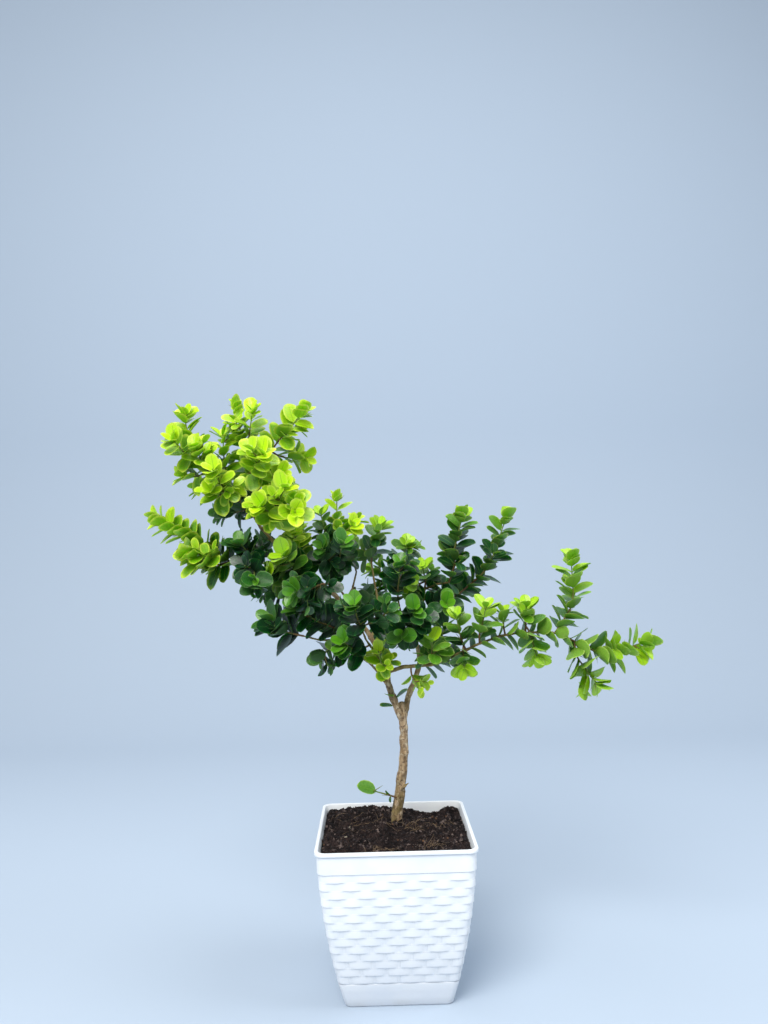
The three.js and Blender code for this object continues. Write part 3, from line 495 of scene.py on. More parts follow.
grow(pot, weave_tree(), {"Relief": 1.15 * MM, "Recess": 0.5 * MM, "Fall": 0.7, "Top narrowness": 1.5,
                         "Base narrowness": 0.32, "Rows": float(WEAVE_ROWS)})
smooth_by_angle(pot, 32)
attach(pot, "root")
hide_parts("pot")
print(f"pot: {triangles(pot)} triangles")

# %% [markdown]
# ## Patterns that several materials share
# Plastic, bark, soil and leaves all need small uneven patches of colour. One shader group makes them: it
# reads the place on the piece, and gives soft clouds, a finer grain and a few specks. Each material uses
# the group with its own sizes, and keeps its own Principled shader.

# %% Shader groups
def shader_group(name, inputs, outputs):
    """A shader group with named inputs and outputs, given as (label, kind, default)."""
    group = bpy.data.node_groups.new(name, "ShaderNodeTree")
    for label, kind, default in inputs:
        socket = group.interface.new_socket(label, in_out="INPUT", socket_type=f"NodeSocket{kind}")
        socket.default_value = default
    for label, kind in outputs:
        group.interface.new_socket(label, in_out="OUTPUT", socket_type=f"NodeSocket{kind}")
    return group, wire(group, "NodeGroupInput").outputs


def patches_group():
    """Soft clouds, fine grain and specks at a place, with sizes in metres."""
    group, given = shader_group("Uneven patches", [
        ("Place", "Vector", (0, 0, 0)), ("Cloud size", "Float", 0.02), ("Grain size", "Float", 0.002)],
        [("Clouds", "Float"), ("Grain", "Float"), ("Specks", "Float")])
    values = []
    for size in ("Cloud size", "Grain size"):
        scale = calc(group, "DIVIDE", 1.0, given[size])
        noise_node = wire(group, "ShaderNodeTexNoise", {
            "Vector": given["Place"], "Scale": scale, "Detail": 3.0, "Roughness": 0.6})
        values.append(ramp(group, noise_node.outputs["Fac"], 0.25, 0.75))
    cells = wire(group, "ShaderNodeTexVoronoi", {
        "Vector": given["Place"], "Scale": calc(group, "DIVIDE", 0.6, given["Grain size"])})
    specks = ramp(group, cells.outputs["Distance"], 0.32, 0.12)
    chance = wire(group, "ShaderNodeSeparateColor", {"Color": cells.outputs["Color"]}).outputs[0]
    specks = mult(group, specks, calc(group, "GREATER_THAN", chance, 0.86))
    wire(group, "NodeGroupOutput", {"Clouds": values[0], "Grain": values[1], "Specks": specks})
    return group


PATCHES = patches_group()
print(f"{PATCHES.name}: {len(PATCHES.nodes)} nodes")


def patches(tree, place, cloud, grain):
    node = wire(tree, "ShaderNodeGroup", node_tree=PATCHES)
    tree.links.new(place, node.inputs["Place"])
    node.inputs["Cloud size"].default_value = cloud
    node.inputs["Grain size"].default_value = grain
    return node.outputs


# %% Small helpers for materials
def mix_colour(tree, factor, a, b):
    """Blends two colours, each an output or plain red, green and blue."""
    node = wire(tree, "ShaderNodeMix", data_type="RGBA")
    for socket, value in ((node.inputs[0], factor), (node.inputs[6], a), (node.inputs[7], b)):
        if isinstance(value, bpy.types.NodeSocket):
            tree.links.new(value, socket)
        else:
            socket.default_value = value if isinstance(value, float) else (*value, 1.0)
    return node.outputs[2]


def start_material(name):
    """A new material: its tree, its Principled shader, and the place on the piece."""
    material = bpy.data.materials.new(name)
    material.use_nodes = True
    tree = material.node_tree
    place = wire(tree, "ShaderNodeTexCoord").outputs["Object"]
    return material, tree, tree.nodes["Principled BSDF"], place


def written(tree, name):
    """A number that is written on the mesh, for a material."""
    return wire(tree, "ShaderNodeAttribute", attribute_name=name).outputs["Fac"]


def feed(tree, shader, colour, roughness, normal=None):
    """Links what changes over the surface to a material's own shader."""
    for label, value in (("Base Color", colour), ("Roughness", roughness), ("Normal", normal)):
        if value is not None:
            tree.links.new(value, shader.inputs[label])


def bump(tree, height, distance, strength=1.0):
    values = {"Height": height, "Distance": distance, "Strength": strength}
    return wire(tree, "ShaderNodeBump", values).outputs[0]


def sun(red, green, blue):
    """The light values of a colour that is written as it looks on a screen, from 0 to 255."""
    return tuple((c / 255 / 12.92) if c < 11 else ((c / 255 + 0.055) / 1.055) ** 2.4
                 for c in (red, green, blue))


# %% [markdown]
# ## White plastic
# The plastic is clean and a little cool, with a soft shine and faint cloudy scuffs. Painted shade makes it
# greyer towards the base and under the lip of each strand, and patchy dust greys its very foot. The upright
# stakes between the strands are very low, so the shader draws them as flat ribs, from each point's place in
# the weave.

# %% Plastic material
def plastic_material():
    """Glossy white, with painted shade towards the base and under the edge of each strand, and patchy dust at
    its foot.
    """
    material, tree, shader, place = start_material("white_plastic")
    shader.inputs["Specular IOR Level"].default_value = 0.45
    marks = patches(tree, place, 0.035, 0.0035)
    height = upward(tree, place)
    turn, row, share = (written(tree, name) for name in ("turn", "row", "share"))
    strand = calc(tree, "FLOOR", calc(tree, "ADD", row, 0.001))
    phase = calc(tree, "FLOORED_MODULO", calc(tree, "ADD", turn, strand), 2.0)
    from_stake = calc(tree, "ABSOLUTE", calc(tree, "SUBTRACT", phase, 1.0))
    woven = calc(tree, "GREATER_THAN", row, -0.1)
    colour = mix_colour(tree, marks["Clouds"], sun(234, 238, 243), sun(243, 245, 247))
    # Painted shade: a cool grey that darkens the lower part of the pot.
    painted_base_shade = mult(tree, ramp(tree, height, 0.12, 0.0), 0.42)
    colour = mix_colour(tree, painted_base_shade, colour, sun(196, 202, 212))
    # Painted shade: grey under the lower lip of each strand, away from the stakes, where its shadow falls.
    painted_strand_shade = mult(tree, ramp(tree, share, 0.16, 0.03), ramp(tree, from_stake, 0.3, 0.7))
    painted_strand_shade = mult(tree, mult(tree, painted_strand_shade, woven), 0.55)
    colour = mix_colour(tree, painted_strand_shade, colour, sun(160, 162, 170))
    foot = mult(tree, ramp(tree, height, 0.012, 0.0), 0.35)
    colour = mix_colour(tree, mult(tree, foot, marks["Clouds"]), colour, sun(178, 176, 170))
    roughness = calc(tree, "MULTIPLY_ADD", marks["Clouds"], 0.12, 0.46)
    # An upright stake shows as a flat rib wherever it passes in front of a strand.
    stake = ramp(tree, from_stake, 0.15, 0.09)
    lower_rows = mult(tree, ramp(tree, row, 10.0, 4.0), woven)
    rib = mult(tree, stake, lower_rows)
    uneven = bump(tree, marks["Grain"], 0.00006, 0.5)
    normal = wire(tree, "ShaderNodeBump", {"Height": rib, "Distance": 0.0003, "Strength": 0.8,
                                           "Normal": uneven}).outputs[0]
    feed(tree, shader, colour, roughness, normal)
    return material


dress(pot, plastic_material())

# %% [markdown]
# ## The soil
# The soil is dark potting mix: wet crumbly clods, heaped behind the trunk and hollow at the back right,
# where the pot's inside shows above it. A flat disc with a bump map looks like a lid, so the surface is a
# fine grid that follows the packed soil's heap and hollow, and a geometry tree breaks it into clods. Loose
# crumbs and pale root hairs are then laid on it.

# %% Soil heights
SOIL_EDGE = 163 * MM
SOIL_GAP = 0.35 * MM
SOIL_CELLS = 180
HEAPS = (
    {"x": -12, "y": 14, "spread": 38, "height": 9},
    {"x": 46, "y": 60, "spread": 22, "height": -9},
    {"x": 71, "y": 73, "spread": 7, "height": 8},
    {"x": -45, "y": 58, "spread": 18, "height": 2.5},
)


def soil_height(x, y):
    """The smooth lie of the soil, in metres."""
    height = SOIL_EDGE
    for heap in HEAPS:
        away = (x / MM - heap["x"]) ** 2 + (y / MM - heap["y"]) ** 2
        height += heap["height"] * MM * math.exp(-away / (2 * heap["spread"] ** 2))
    return height


# %% The soil's grid, fitted to the pot's rounded corners
def in_rounded_square(u, v, half, corner):
    """Moves a point of the square from -1 to 1 into a square with rounded corners."""
    reach = half - corner
    x, y = u * half, v * half
    a, b = max(0.0, abs(x) - reach) / corner, max(0.0, abs(y) - reach) / corner
    if a and b:
        x = math.copysign(reach + corner * a * math.sqrt(1 - b * b / 2), x)
        y = math.copysign(reach + corner * b * math.sqrt(1 - a * a / 2), y)
    return x, y


def soil_half(z):
    return body_half(z) - WALL - SOIL_GAP


EDGE_DROP = 2.2 * MM
EDGE_STEEPNESS = 24
EDGE_STARTS = 0.02
RIM_ROOM = 3 * MM
CALM_EDGE = 30
SIDE = SOIL_CELLS + 1
TOP_HALF = soil_half(UNDER_RIM)
SOIL_DEPTHS = (140 * MM, 110 * MM, 60 * MM, POT_FLOOR + SOIL_GAP)
soil_top = []
for j in range(SIDE):
    for i in range(SIDE):
        u, v = 2 * i / SOIL_CELLS - 1, 2 * j / SOIL_CELLS - 1
        x, y = in_rounded_square(u, v, TOP_HALF, CORNER_ROUND * TOP_HALF / RIM_HALF)
        edge = max(abs(u), abs(v)) ** EDGE_STEEPNESS
        z = soil_height(x, y)
        if edge > EDGE_STARTS:
            z = min(z, UNDER_RIM + RIM_ROOM * (1 - edge))
        soil_top.append((x, y, z - edge * EDGE_DROP))
soil_faces = []
for j in range(SOIL_CELLS):
    for i in range(SOIL_CELLS):
        a = j * SIDE + i
        soil_faces.append((a, a + 1, a + 1 + SIDE, a + SIDE))
rim_loop = ([i for i in range(SOIL_CELLS)] + [j * SIDE + SOIL_CELLS for j in range(SOIL_CELLS)]
            + [SOIL_CELLS * SIDE + i for i in range(SOIL_CELLS, 0, -1)]
            + [j * SIDE for j in range(SOIL_CELLS, 0, -1)])
above = rim_loop
for z in SOIL_DEPTHS:
    shrink = soil_half(z) / TOP_HALF
    level_loop = list(range(len(soil_top), len(soil_top) + len(rim_loop)))
    soil_top += [(soil_top[k][0] * shrink, soil_top[k][1] * shrink, z) for k in rim_loop]
    for i in range(len(rim_loop)):
        after = (i + 1) % len(rim_loop)
        soil_faces.append((above[i], level_loop[i], level_loop[after], above[after]))
    above = level_loop
soil_top.append((0, 0, POT_FLOOR + SOIL_GAP))
soil_faces += [(above[(i + 1) % len(above)], above[i], len(soil_top) - 1) for i in range(len(above))]
soil = new_piece("potting_soil", soil_top, faces=soil_faces)
print(f"smooth soil: {triangles(soil)} triangles")


# %% Where the soil is loose
def looseness(k):
    """How far the clods may move a point of the soil: fully in the open, and not at all by the pot."""
    if k >= SIDE * SIDE:
        return 0.0
    u, v = 2 * (k % SIDE) / SOIL_CELLS - 1, 2 * (k // SIDE) / SOIL_CELLS - 1
    return max(0.0, 1 - max(abs(u), abs(v)) ** CALM_EDGE)


write_attribute(soil, "rough", "FLOAT", [looseness(k) for k in range(len(soil_top))])


# %% Clods
CLOD_BEND = 9 * MM


def clod_tree():
    """Lifts and drops the points of the soil: broad swells, then clods, then crumbs."""
    tree, given = geometry_tree("Clods", floats(
        "Swell size", "Swell height", "Clod size", "Clod height", "Crumb size", "Crumb height", "Seed"))
    place = wire(tree, "GeometryNodeInputPosition").outputs[0]
    swell = wire(tree, "ShaderNodeTexNoise", {
        "Vector": place, "W": given["Seed"], "Scale": calc(tree, "DIVIDE", 1.0, given["Swell size"]),
        "Detail": 3.0, "Roughness": 0.6}, noise_dimensions="4D")
    height = mult(tree, calc(tree, "SUBTRACT", swell.outputs["Fac"], 0.5), given["Swell height"])
    bent = scaled(tree, swell.outputs["Color"], CLOD_BEND)
    bent = wire(tree, "ShaderNodeVectorMath", {0: place, 1: bent}, operation="ADD").outputs[0]
    for size, rise in (("Clod size", "Clod height"), ("Crumb size", "Crumb height")):
        cells = wire(tree, "ShaderNodeTexVoronoi", {
            "Vector": bent, "Scale": calc(tree, "DIVIDE", 1.0, given[size]), "Detail": 1.0})
        dome = calc(tree, "SUBTRACT", 0.55, cells.outputs["Distance"])
        chance = wire(tree, "FunctionNodeSeparateColor", {0: cells.outputs["Color"]}).outputs[0]
        lump = calc(tree, "ADD", dome, mult(tree, calc(tree, "SUBTRACT", chance, 0.5), 0.9))
        height = calc(tree, "MULTIPLY_ADD", lump, given[rise], height)
    height = mult(tree, height, attribute(tree, "rough"))
    offset = wire(tree, "ShaderNodeCombineXYZ", {"Z": height}).outputs[0]
    moved = wire(tree, "GeometryNodeSetPosition", {"Geometry": given["Geometry"], "Offset": offset})
    wire(tree, "NodeGroupOutput", {"Geometry": moved.outputs[0]})
    return tree


grow(soil, clod_tree(), {
    "Swell size": 22 * MM, "Swell height": 9 * MM, "Clod size": 7 * MM, "Clod height": 3.0 * MM,
    "Crumb size": 2.4 * MM, "Crumb height": 1.4 * MM, "Seed": 4.0})
soil.data.shade_smooth()
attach(soil, "root")
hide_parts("soil")
print(f"soil: {triangles(soil)} triangles, top at {max(v.co.z for v in soil.data.vertices) / MM:.0f} mm")


# %% Soil material
def soil_material():
    """Nearly black in the hollows, dark brown where it is drier, with a few light specks."""
    material, tree, shader, place = start_material("potting_mix")
    shader.inputs["Specular IOR Level"].default_value = 0.12
    marks = patches(tree, place, 0.013, 0.0016)
    colour = mix_colour(tree, marks["Clouds"], sun(12, 9, 11), sun(74, 60, 57))
    colour = mix_colour(tree, marks["Grain"], sun(10, 8, 10), colour)
    colour = mix_colour(tree, mult(tree, marks["Specks"], 0.5), colour, sun(112, 94, 78))
    roughness = calc(tree, "MULTIPLY_ADD", marks["Grain"], 0.3, 0.62)
    normal = bump(tree, marks["Grain"], 0.0009)
    feed(tree, shader, colour, roughness, normal)
    return material


dress(soil, soil_material())

# %% [markdown]
# ## Crumbs and root hairs
# What makes soil look like soil is what lies loose on it: crumbs of many sizes, chips of bark, and pale
# root hairs. The crumbs are a few lumpy shapes that a geometry tree scatters over the soil's upper face,
# each with its own size, turn and tone. The hairs are thin tubes along short lines that stay on the soil.

# %% One crumb
CRUMB_KINDS = 4
CRUMB_SEED_STEP = 3.1
CRUMB_SPREAD = Vector((1.15, 0.95, 0.7))


def crumb_mesh(name, seed):
    """A cube cut once and pushed into an uneven lump."""
    work = bmesh.new()
    bmesh.ops.create_cube(work, size=1.0)
    bmesh.ops.subdivide_edges(work, edges=work.edges, cuts=1, use_grid_fill=True)
    for vertex in work.verts:
        bulge = 0.5 + 0.75 * noise.noise(vertex.co * 2.3 + Vector((seed, 0, 0)))
        vertex.co = vertex.co.normalized() * bulge * CRUMB_SPREAD
    shape = bpy.data.meshes.new(name)
    work.to_mesh(shape)
    work.free()
    shape.shade_smooth()
    return shape


crumb_shapes = [crumb_mesh(f"crumb_{i}", CRUMB_SEED_STEP * i) for i in range(CRUMB_KINDS)]
crumb_store = hidden_collection("crumb", crumb_shapes)
print(f"{CRUMB_KINDS} kinds of crumb, {len(crumb_shapes[0].polygons)} faces each")


# %% Scatter the crumbs
def scatter_tree():
    """Copies crumbs onto the upper face of the soil, most of them small."""
    tree, given = geometry_tree("Crumbs", [
        ("Crumb kinds", "Collection"), *floats("Density", "Smallest", "Largest", "Above"),
        ("Seed", "Int"), ("Finish", "Material")])
    lean = upward(tree, wire(tree, "GeometryNodeInputNormal").outputs[0])
    height = upward(tree, wire(tree, "GeometryNodeInputPosition").outputs[0])
    upper = mult(tree, calc(tree, "GREATER_THAN", lean, 0.2),
                 calc(tree, "GREATER_THAN", height, given["Above"]))
    points = wire(tree, "GeometryNodeDistributePointsOnFaces", {
        "Mesh": given["Geometry"], "Selection": upper, "Density": given["Density"], "Seed": given["Seed"]})
    draw = wire(tree, "FunctionNodeRandomValue", {2: 0.0, 3: 1.0, "Seed": given["Seed"]}).outputs[1]
    span = calc(tree, "SUBTRACT", given["Largest"], given["Smallest"])
    size = calc(tree, "MULTIPLY_ADD", calc(tree, "POWER", draw, 4.0), span, given["Smallest"])
    turn = wire(tree, "FunctionNodeRandomValue", {0: (0, 0, 0), 1: (6.3, 6.3, 6.3), "Seed": 5},
                data_type="FLOAT_VECTOR").outputs[0]
    kind = wire(tree, "FunctionNodeRandomValue", {4: 0, 5: CRUMB_KINDS - 1, "Seed": 8},
                data_type="INT").outputs[2]
    chance = wire(tree, "FunctionNodeRandomValue", {2: 0.0, 3: 1.0, "Seed": 9}).outputs[1]
    noted = wire(tree, "GeometryNodeStoreNamedAttribute", {
        "Geometry": points.outputs[0], "Name": "chance", "Value": chance}, data_type="FLOAT", domain="POINT")
    copies = copies_at(tree, noted.outputs[0], given["Crumb kinds"], kind, turn, size)
    wire(tree, "NodeGroupOutput", {"Geometry": finished(tree, copies, given["Finish"])})
    return tree


def crumb_material():
    """Black, brown and rusty crumbs, each of one colour, with a few pale ones and black wet patches."""
    material, tree, shader, place = start_material("soil_crumbs")
    shader.inputs["Specular IOR Level"].default_value = 0.2
    chance = written(tree, "chance")
    marks = patches(tree, place, 0.004, 0.0008)
    colour = mix_colour(tree, calc(tree, "POWER", chance, 1.8), sun(32, 28, 32), sun(134, 117, 110))
    colour = mix_colour(tree, calc(tree, "GREATER_THAN", chance, 0.965), colour, sun(108, 80, 60))
    colour = mix_colour(tree, calc(tree, "GREATER_THAN", chance, 0.995), colour, sun(190, 180, 160))
    wet = ramp(tree, patches(tree, place, 0.008, 0.004)["Clouds"], 0.54, 0.47)
    colour = mix_colour(tree, mult(tree, wet, 0.85), colour, sun(24, 21, 24))
    roughness = calc(tree, "MULTIPLY_ADD", marks["Grain"], 0.3, 0.6)
    feed(tree, shader, colour, roughness, bump(tree, marks["Grain"], 0.0004))
    return material


crumbs = new_piece("soil_crumbs", [])
crumbs.data = soil.data.copy()
grow(crumbs, scatter_tree(), {
    "Crumb kinds": crumb_store, "Density": 84000.0, "Smallest": 0.7 * MM, "Largest": 4.4 * MM,
    "Above": 150 * MM, "Seed": 3, "Finish": crumb_material()})
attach(crumbs, "root")
print(f"crumbs: {triangles(crumbs)} triangles")


# %% Root hairs
def tube_tree():
    """Turns lines into round tubes whose girth is an attribute of the line."""
    tree, given = geometry_tree("Hairs", [("Sides", "Int"), ("Finish", "Material")])
    lines = wire(tree, "GeometryNodeMeshToCurve", {"Mesh": given["Geometry"]})
    tubes = tubes_along(tree, lines, given["Sides"])
    wire(tree, "NodeGroupOutput", {"Geometry": finished(tree, tubes, given["Finish"])})
    return tree


def fibre_material():
    material, tree, shader, place = start_material("root_hairs")
    marks = patches(tree, place, 0.006, 0.001)
    colour = mix_colour(tree, marks["Clouds"], sun(100, 78, 56), sun(158, 134, 102))
    colour = mix_colour(tree, calc(tree, "SUBTRACT", 1.0, marks["Grain"]), colour, sun(74, 58, 46))
    roughness = calc(tree, "MULTIPLY_ADD", marks["Grain"], 0.2, 0.6)
    feed(tree, shader, colour, roughness)
    return material


SOIL_SURFACE = faces_to_hit(soil.data)
RAY_TOP = 0.3
DOWN = Vector((0, 0, -1))
HAIR_GIRTH = 0.2 * MM
HAIR_STEP = 2.4 * MM
HAIR_ARCH = 0.9 * MM
HAIR_LIMIT = 76 * MM
HAIR_TUFTS = (
    {"x": -22, "y": -62, "spread": 8, "count": 20, "heading": -0.9, "fan": 0.45},
    {"x": 34, "y": -60, "spread": 7, "count": 14, "heading": 0.9, "fan": 0.35},
    {"x": 14, "y": -14, "spread": 8, "count": 12, "heading": 0.4, "fan": 0.6},
    {"x": 22, "y": 0, "spread": 10, "count": 6, "heading": 0.2, "fan": 0.3},
    {"x": -48, "y": -8, "spread": 14, "count": 7, "heading": 0.1, "fan": 0.4},
    {"x": 58, "y": 4, "spread": 12, "count": 7, "heading": 2.6, "fan": 0.4},
    {"x": 0, "y": 0, "spread": 70, "count": 22, "heading": 0.0, "fan": 3.0},
)
HAIR_LIFTS = (0.4, 0.8, 1.5, 4.0)
hair_points, hair_edges, hair_girths = [], [], []
rng = random.Random(31)
for tuft in HAIR_TUFTS:
    for hair in range(tuft["count"]):
        place = Vector((tuft["x"] + rng.gauss(0, 0.6) * tuft["spread"],
                        tuft["y"] + rng.gauss(0, 0.6) * tuft["spread"], 0)) * MM
        heading = tuft["heading"] + rng.gauss(0, 1) * tuft["fan"]
        bend = rng.uniform(-0.08, 0.08)
        steps = rng.randint(4, 9)
        lift = rng.choice(HAIR_LIFTS) * rng.uniform(0.5, 1.2) * MM
        first = len(hair_points)
        for step in range(steps):
            hit = SOIL_SURFACE.ray_cast(Vector((place.x, place.y, RAY_TOP)), DOWN)[0]
            if hit is None or max(abs(place.x), abs(place.y)) > HAIR_LIMIT:
                break
            way = step / (steps - 1)
            hair_points.append(hit + Vector((0, 0, lift * way + HAIR_ARCH * math.sin(math.pi * way))))
            hair_girths.append(HAIR_GIRTH * (1 - 0.5 * way) * (1 + hair % 3 * 0.3))
            heading += bend + rng.uniform(-0.07, 0.07)
            place = place + Vector((math.cos(heading), math.sin(heading), 0)) * HAIR_STEP
        hair_edges += [(i, i + 1) for i in range(first, len(hair_points) - 1)]
hairs = new_piece("root_hairs", hair_points, hair_edges)
write_attribute(hairs, "girth", "FLOAT", hair_girths)
grow(hairs, tube_tree(), {"Sides": 5, "Finish": fibre_material()})
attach(hairs, "root")
print(f"root hairs: {triangles(hairs)} triangles")

# %% [markdown]
# ## The wood
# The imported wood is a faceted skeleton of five-sided limbs. Real bark is round, lumpy and cracked, with a
# swelling at every old leaf joint, knots where twigs were cut off, and one short broken stub. Small balls
# and cones are set into the skeleton for those. A voxel remesh then melts its facets and forks into one
# skin, a little smoothing rounds it, and a geometry tree raises knobs and long cracks. The limbs keep
# their places, so everything that grows from them still meets them.

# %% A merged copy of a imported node
MERGE_WITHIN = 0.004 * MM


def merged_copy(node_name, name):
    """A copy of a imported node's mesh with its loose triangles joined."""
    piece = new_piece(name, [])
    piece.data = nodes[node_name].data.copy()
    work = bmesh.new()
    work.from_mesh(piece.data)
    bmesh.ops.remove_doubles(work, verts=work.verts, dist=MERGE_WITHIN)
    work.to_mesh(piece.data)
    work.free()
    return piece


def keep_modifiers(piece):
    """Makes what a piece's modifiers show its plain mesh."""
    depsgraph = bpy.context.evaluated_depsgraph_get()
    shape = bpy.data.meshes.new_from_object(piece.evaluated_get(depsgraph), depsgraph=depsgraph)
    piece.modifiers.clear()
    piece.data = shape


# %% Knots, old scars and a broken stub
WOOD_VOXEL = 0.8 * MM
wood = merged_copy("wood", "wood_and_bark")
wood_skeleton = wood.data.copy()
WOOD_SURFACE = faces_to_hit(wood_skeleton)
KNOTS = ((11, -6, 256, 2.7), (5, -5, 222, 2.3), (15, -3, 234, 2.2), (0, -4, 197, 2.4), (9, -4, 186, 2.5),
         (18, -3, 276, 2.2), (10, -6, 291, 2.0), (-2, -2, 182, 2.6), (12, 4, 204, 2.6), (16, 5, 246, 2.3))
KNOT_SINK = 0.55
STUB_FOOT = Vector((8, -1, 208)) * MM
STUB_TIP = Vector((17, -3.4, 215)) * MM
STUB_GIRTHS = (1.9 * MM, 1.0 * MM)
CROTCH_FOOT = Vector((12, 1, 280)) * MM
CROTCH_TIP = Vector((11, 1.6, 304)) * MM
CROTCH_GIRTHS = (4.6 * MM, 3.0 * MM)


def add_knots(piece):
    """Sets small balls into the surface of the wood, and short cones for the stub and in the crotch."""
    work = bmesh.new()
    work.from_mesh(piece.data)
    for x, y, z, radius in KNOTS:
        place, normal, _, _ = WOOD_SURFACE.find_nearest(Vector((x, y, z)) * MM)
        centre = place - normal * radius * MM * KNOT_SINK
        bmesh.ops.create_icosphere(work, subdivisions=2, radius=radius * MM,
                                   matrix=Matrix.Translation(centre))
    for foot, tip, girths in ((STUB_FOOT, STUB_TIP, STUB_GIRTHS), (CROTCH_FOOT, CROTCH_TIP, CROTCH_GIRTHS)):
        turn = (tip - foot).to_track_quat("Z", "X").to_matrix().to_4x4()
        bmesh.ops.create_cone(work, cap_ends=True, segments=10, radius1=girths[0], radius2=girths[1],
                              depth=(tip - foot).length, matrix=Matrix.Translation((foot + tip) / 2) @ turn)
    work.to_mesh(piece.data)
    work.free()


add_knots(wood)
remesh = wood.modifiers.new("skin", "REMESH")
remesh.mode = "VOXEL"
remesh.voxel_size = WOOD_VOXEL
relax = wood.modifiers.new("relax", "SMOOTH")
relax.factor = 0.5
relax.iterations = 8
keep_modifiers(wood)
print(f"wood skin: {triangles(wood)} triangles")


# %% Bark relief
FORK_STARTS = (0.272, 0.296)
FORK_ENDS = (0.33, 0.38)
RAY_LEAD = 0.2
RAY_REACH = 30 * MM
THIN_GIRTH = 2 * MM


def bark_tree():
    """Raises low knobs and cuts shallow furrows, both of them deeper on thicker limbs."""
    tree, given = geometry_tree("Bark", floats(
        "Trunk swell", "Fork swell", "Twig swell", "Knob size", "Knob height", "Furrow width",
        "Furrow depth", "Thick limb"))
    place = wire(tree, "GeometryNodeInputPosition").outputs[0]
    upright_place = wire(tree, "ShaderNodeVectorMath", {0: place, 1: (1.0, 1.0, 0.22)},
                         operation="MULTIPLY").outputs[0]
    stout = ramp(tree, attribute(tree, "girth"), 0.0, given["Thick limb"])
    stout = calc(tree, "MULTIPLY_ADD", stout, 0.75, 0.25)
    knobs = wire(tree, "ShaderNodeTexNoise", {
        "Vector": place, "Scale": calc(tree, "DIVIDE", 1.0, given["Knob size"]), "Detail": 2.0})
    knobs = mult(tree, ramp(tree, knobs.outputs["Fac"], 0.42, 0.72), given["Knob height"])
    furrows = wire(tree, "ShaderNodeTexNoise", {
        "Vector": upright_place, "Scale": calc(tree, "DIVIDE", 1.0, given["Furrow width"]), "Detail": 2.0,
        "Roughness": 0.6}).outputs["Fac"]
    furrows = mult(tree, calc(tree, "SUBTRACT", furrows, 0.5), given["Furrow depth"])
    height = upward(tree, place)
    at_fork = calc(tree, "SUBTRACT", given["Fork swell"], given["Trunk swell"])
    above_fork = calc(tree, "SUBTRACT", given["Twig swell"], given["Fork swell"])
    swell = calc(tree, "MULTIPLY_ADD", ramp(tree, height, *FORK_STARTS), at_fork, given["Trunk swell"])
    swell = calc(tree, "MULTIPLY_ADD", ramp(tree, height, *FORK_ENDS), above_fork, swell)
    push = calc(tree, "MULTIPLY_ADD", calc(tree, "ADD", knobs, furrows), stout, swell)
    normal = wire(tree, "GeometryNodeInputNormal").outputs[0]
    offset = scaled(tree, normal, push)
    moved = wire(tree, "GeometryNodeSetPosition", {"Geometry": given["Geometry"], "Offset": offset})
    wire(tree, "NodeGroupOutput", {"Geometry": moved.outputs[0]})
    return tree


def write_girth(piece):
    """Gives each point of the wood how thick its limb is there, found by a ray straight through it."""
    surface = faces_to_hit(piece.data)
    girths = []
    for vertex in piece.data.vertices:
        inward = -vertex.normal
        hit = surface.ray_cast(vertex.co + inward * RAY_LEAD * MM, inward, RAY_REACH)
        girths.append(hit[3] if hit[0] else THIN_GIRTH)
    write_attribute(piece, "girth", "FLOAT", girths)


write_girth(wood)
grow(wood, bark_tree(), {"Trunk swell": -0.35 * MM, "Fork swell": 0.55 * MM, "Twig swell": 0.0,
                         "Knob size": 13 * MM, "Knob height": 1.3 * MM, "Furrow width": 3.4 * MM,
                         "Furrow depth": 0.7 * MM, "Thick limb": 9 * MM})
wood.data.shade_smooth()
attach(wood, "root")
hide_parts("wood")
print(f"wood: {triangles(wood)} triangles")


# %% Bark material
def bark_material():
    """Golden tan on the trunk, olive on the twigs, with pale patches, dark pits and a mossy foot."""
    material, tree, shader, place = start_material("bark")
    girth = written(tree, "girth")
    old = ramp(tree, girth, 2.6 * MM, 7 * MM)
    upright_place = wire(tree, "ShaderNodeVectorMath", {0: place, 1: (1.0, 1.0, 0.2)}, operation="MULTIPLY")
    streaks = patches(tree, upright_place.outputs[0], 0.0042, 0.0017)
    marks = patches(tree, place, 0.008, 0.0013)
    young_bark = mix_colour(tree, marks["Clouds"], sun(108, 88, 46), sun(150, 134, 80))
    old_bark = mix_colour(tree, streaks["Clouds"], sun(128, 100, 66), sun(200, 172, 136))
    colour = mix_colour(tree, old, young_bark, old_bark)
    pale = mult(tree, ramp(tree, marks["Clouds"], 0.6, 0.85), mult(tree, old, 0.65))
    colour = mix_colour(tree, pale, colour, sun(220, 202, 170))
    height = upward(tree, place)
    lichen = patches(tree, place, 0.011, 0.003)
    moss = mult(tree, ramp(tree, lichen["Clouds"], 0.2, 0.6), ramp(tree, height, 0.245, 0.185))
    colour = mix_colour(tree, mult(tree, moss, 0.8), colour, sun(104, 90, 42))
    pits = mult(tree, calc(tree, "SUBTRACT", 1.0, ramp(tree, streaks["Grain"], 0.08, 0.5)), 0.6)
    colour = mix_colour(tree, mult(tree, pits, old), colour, sun(86, 62, 38))
    spots = mult(tree, ramp(tree, lichen["Grain"], 0.7, 0.9), mult(tree, old, 0.8))
    colour = mix_colour(tree, spots, colour, sun(74, 52, 34))
    roughness = calc(tree, "MULTIPLY_ADD", marks["Grain"], -0.12, 0.82)
    relief = calc(tree, "SUBTRACT", streaks["Grain"], spots)
    feed(tree, shader, colour, roughness, bump(tree, relief, 0.0004, 0.7))
    return material


dress(wood, bark_material())

# %% [markdown]
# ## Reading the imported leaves
# Each packed leaf is a thin faceted blade on a square stem. A fine leaf has to grow from the same root and
# lie in the same place, or the tree would lose the crown that was fitted to it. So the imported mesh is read
# back: the blade is the only part whose edges are as short as its thickness. From the two places where its
# cross-section was set and its tip come its length, its root, and the way it faces.

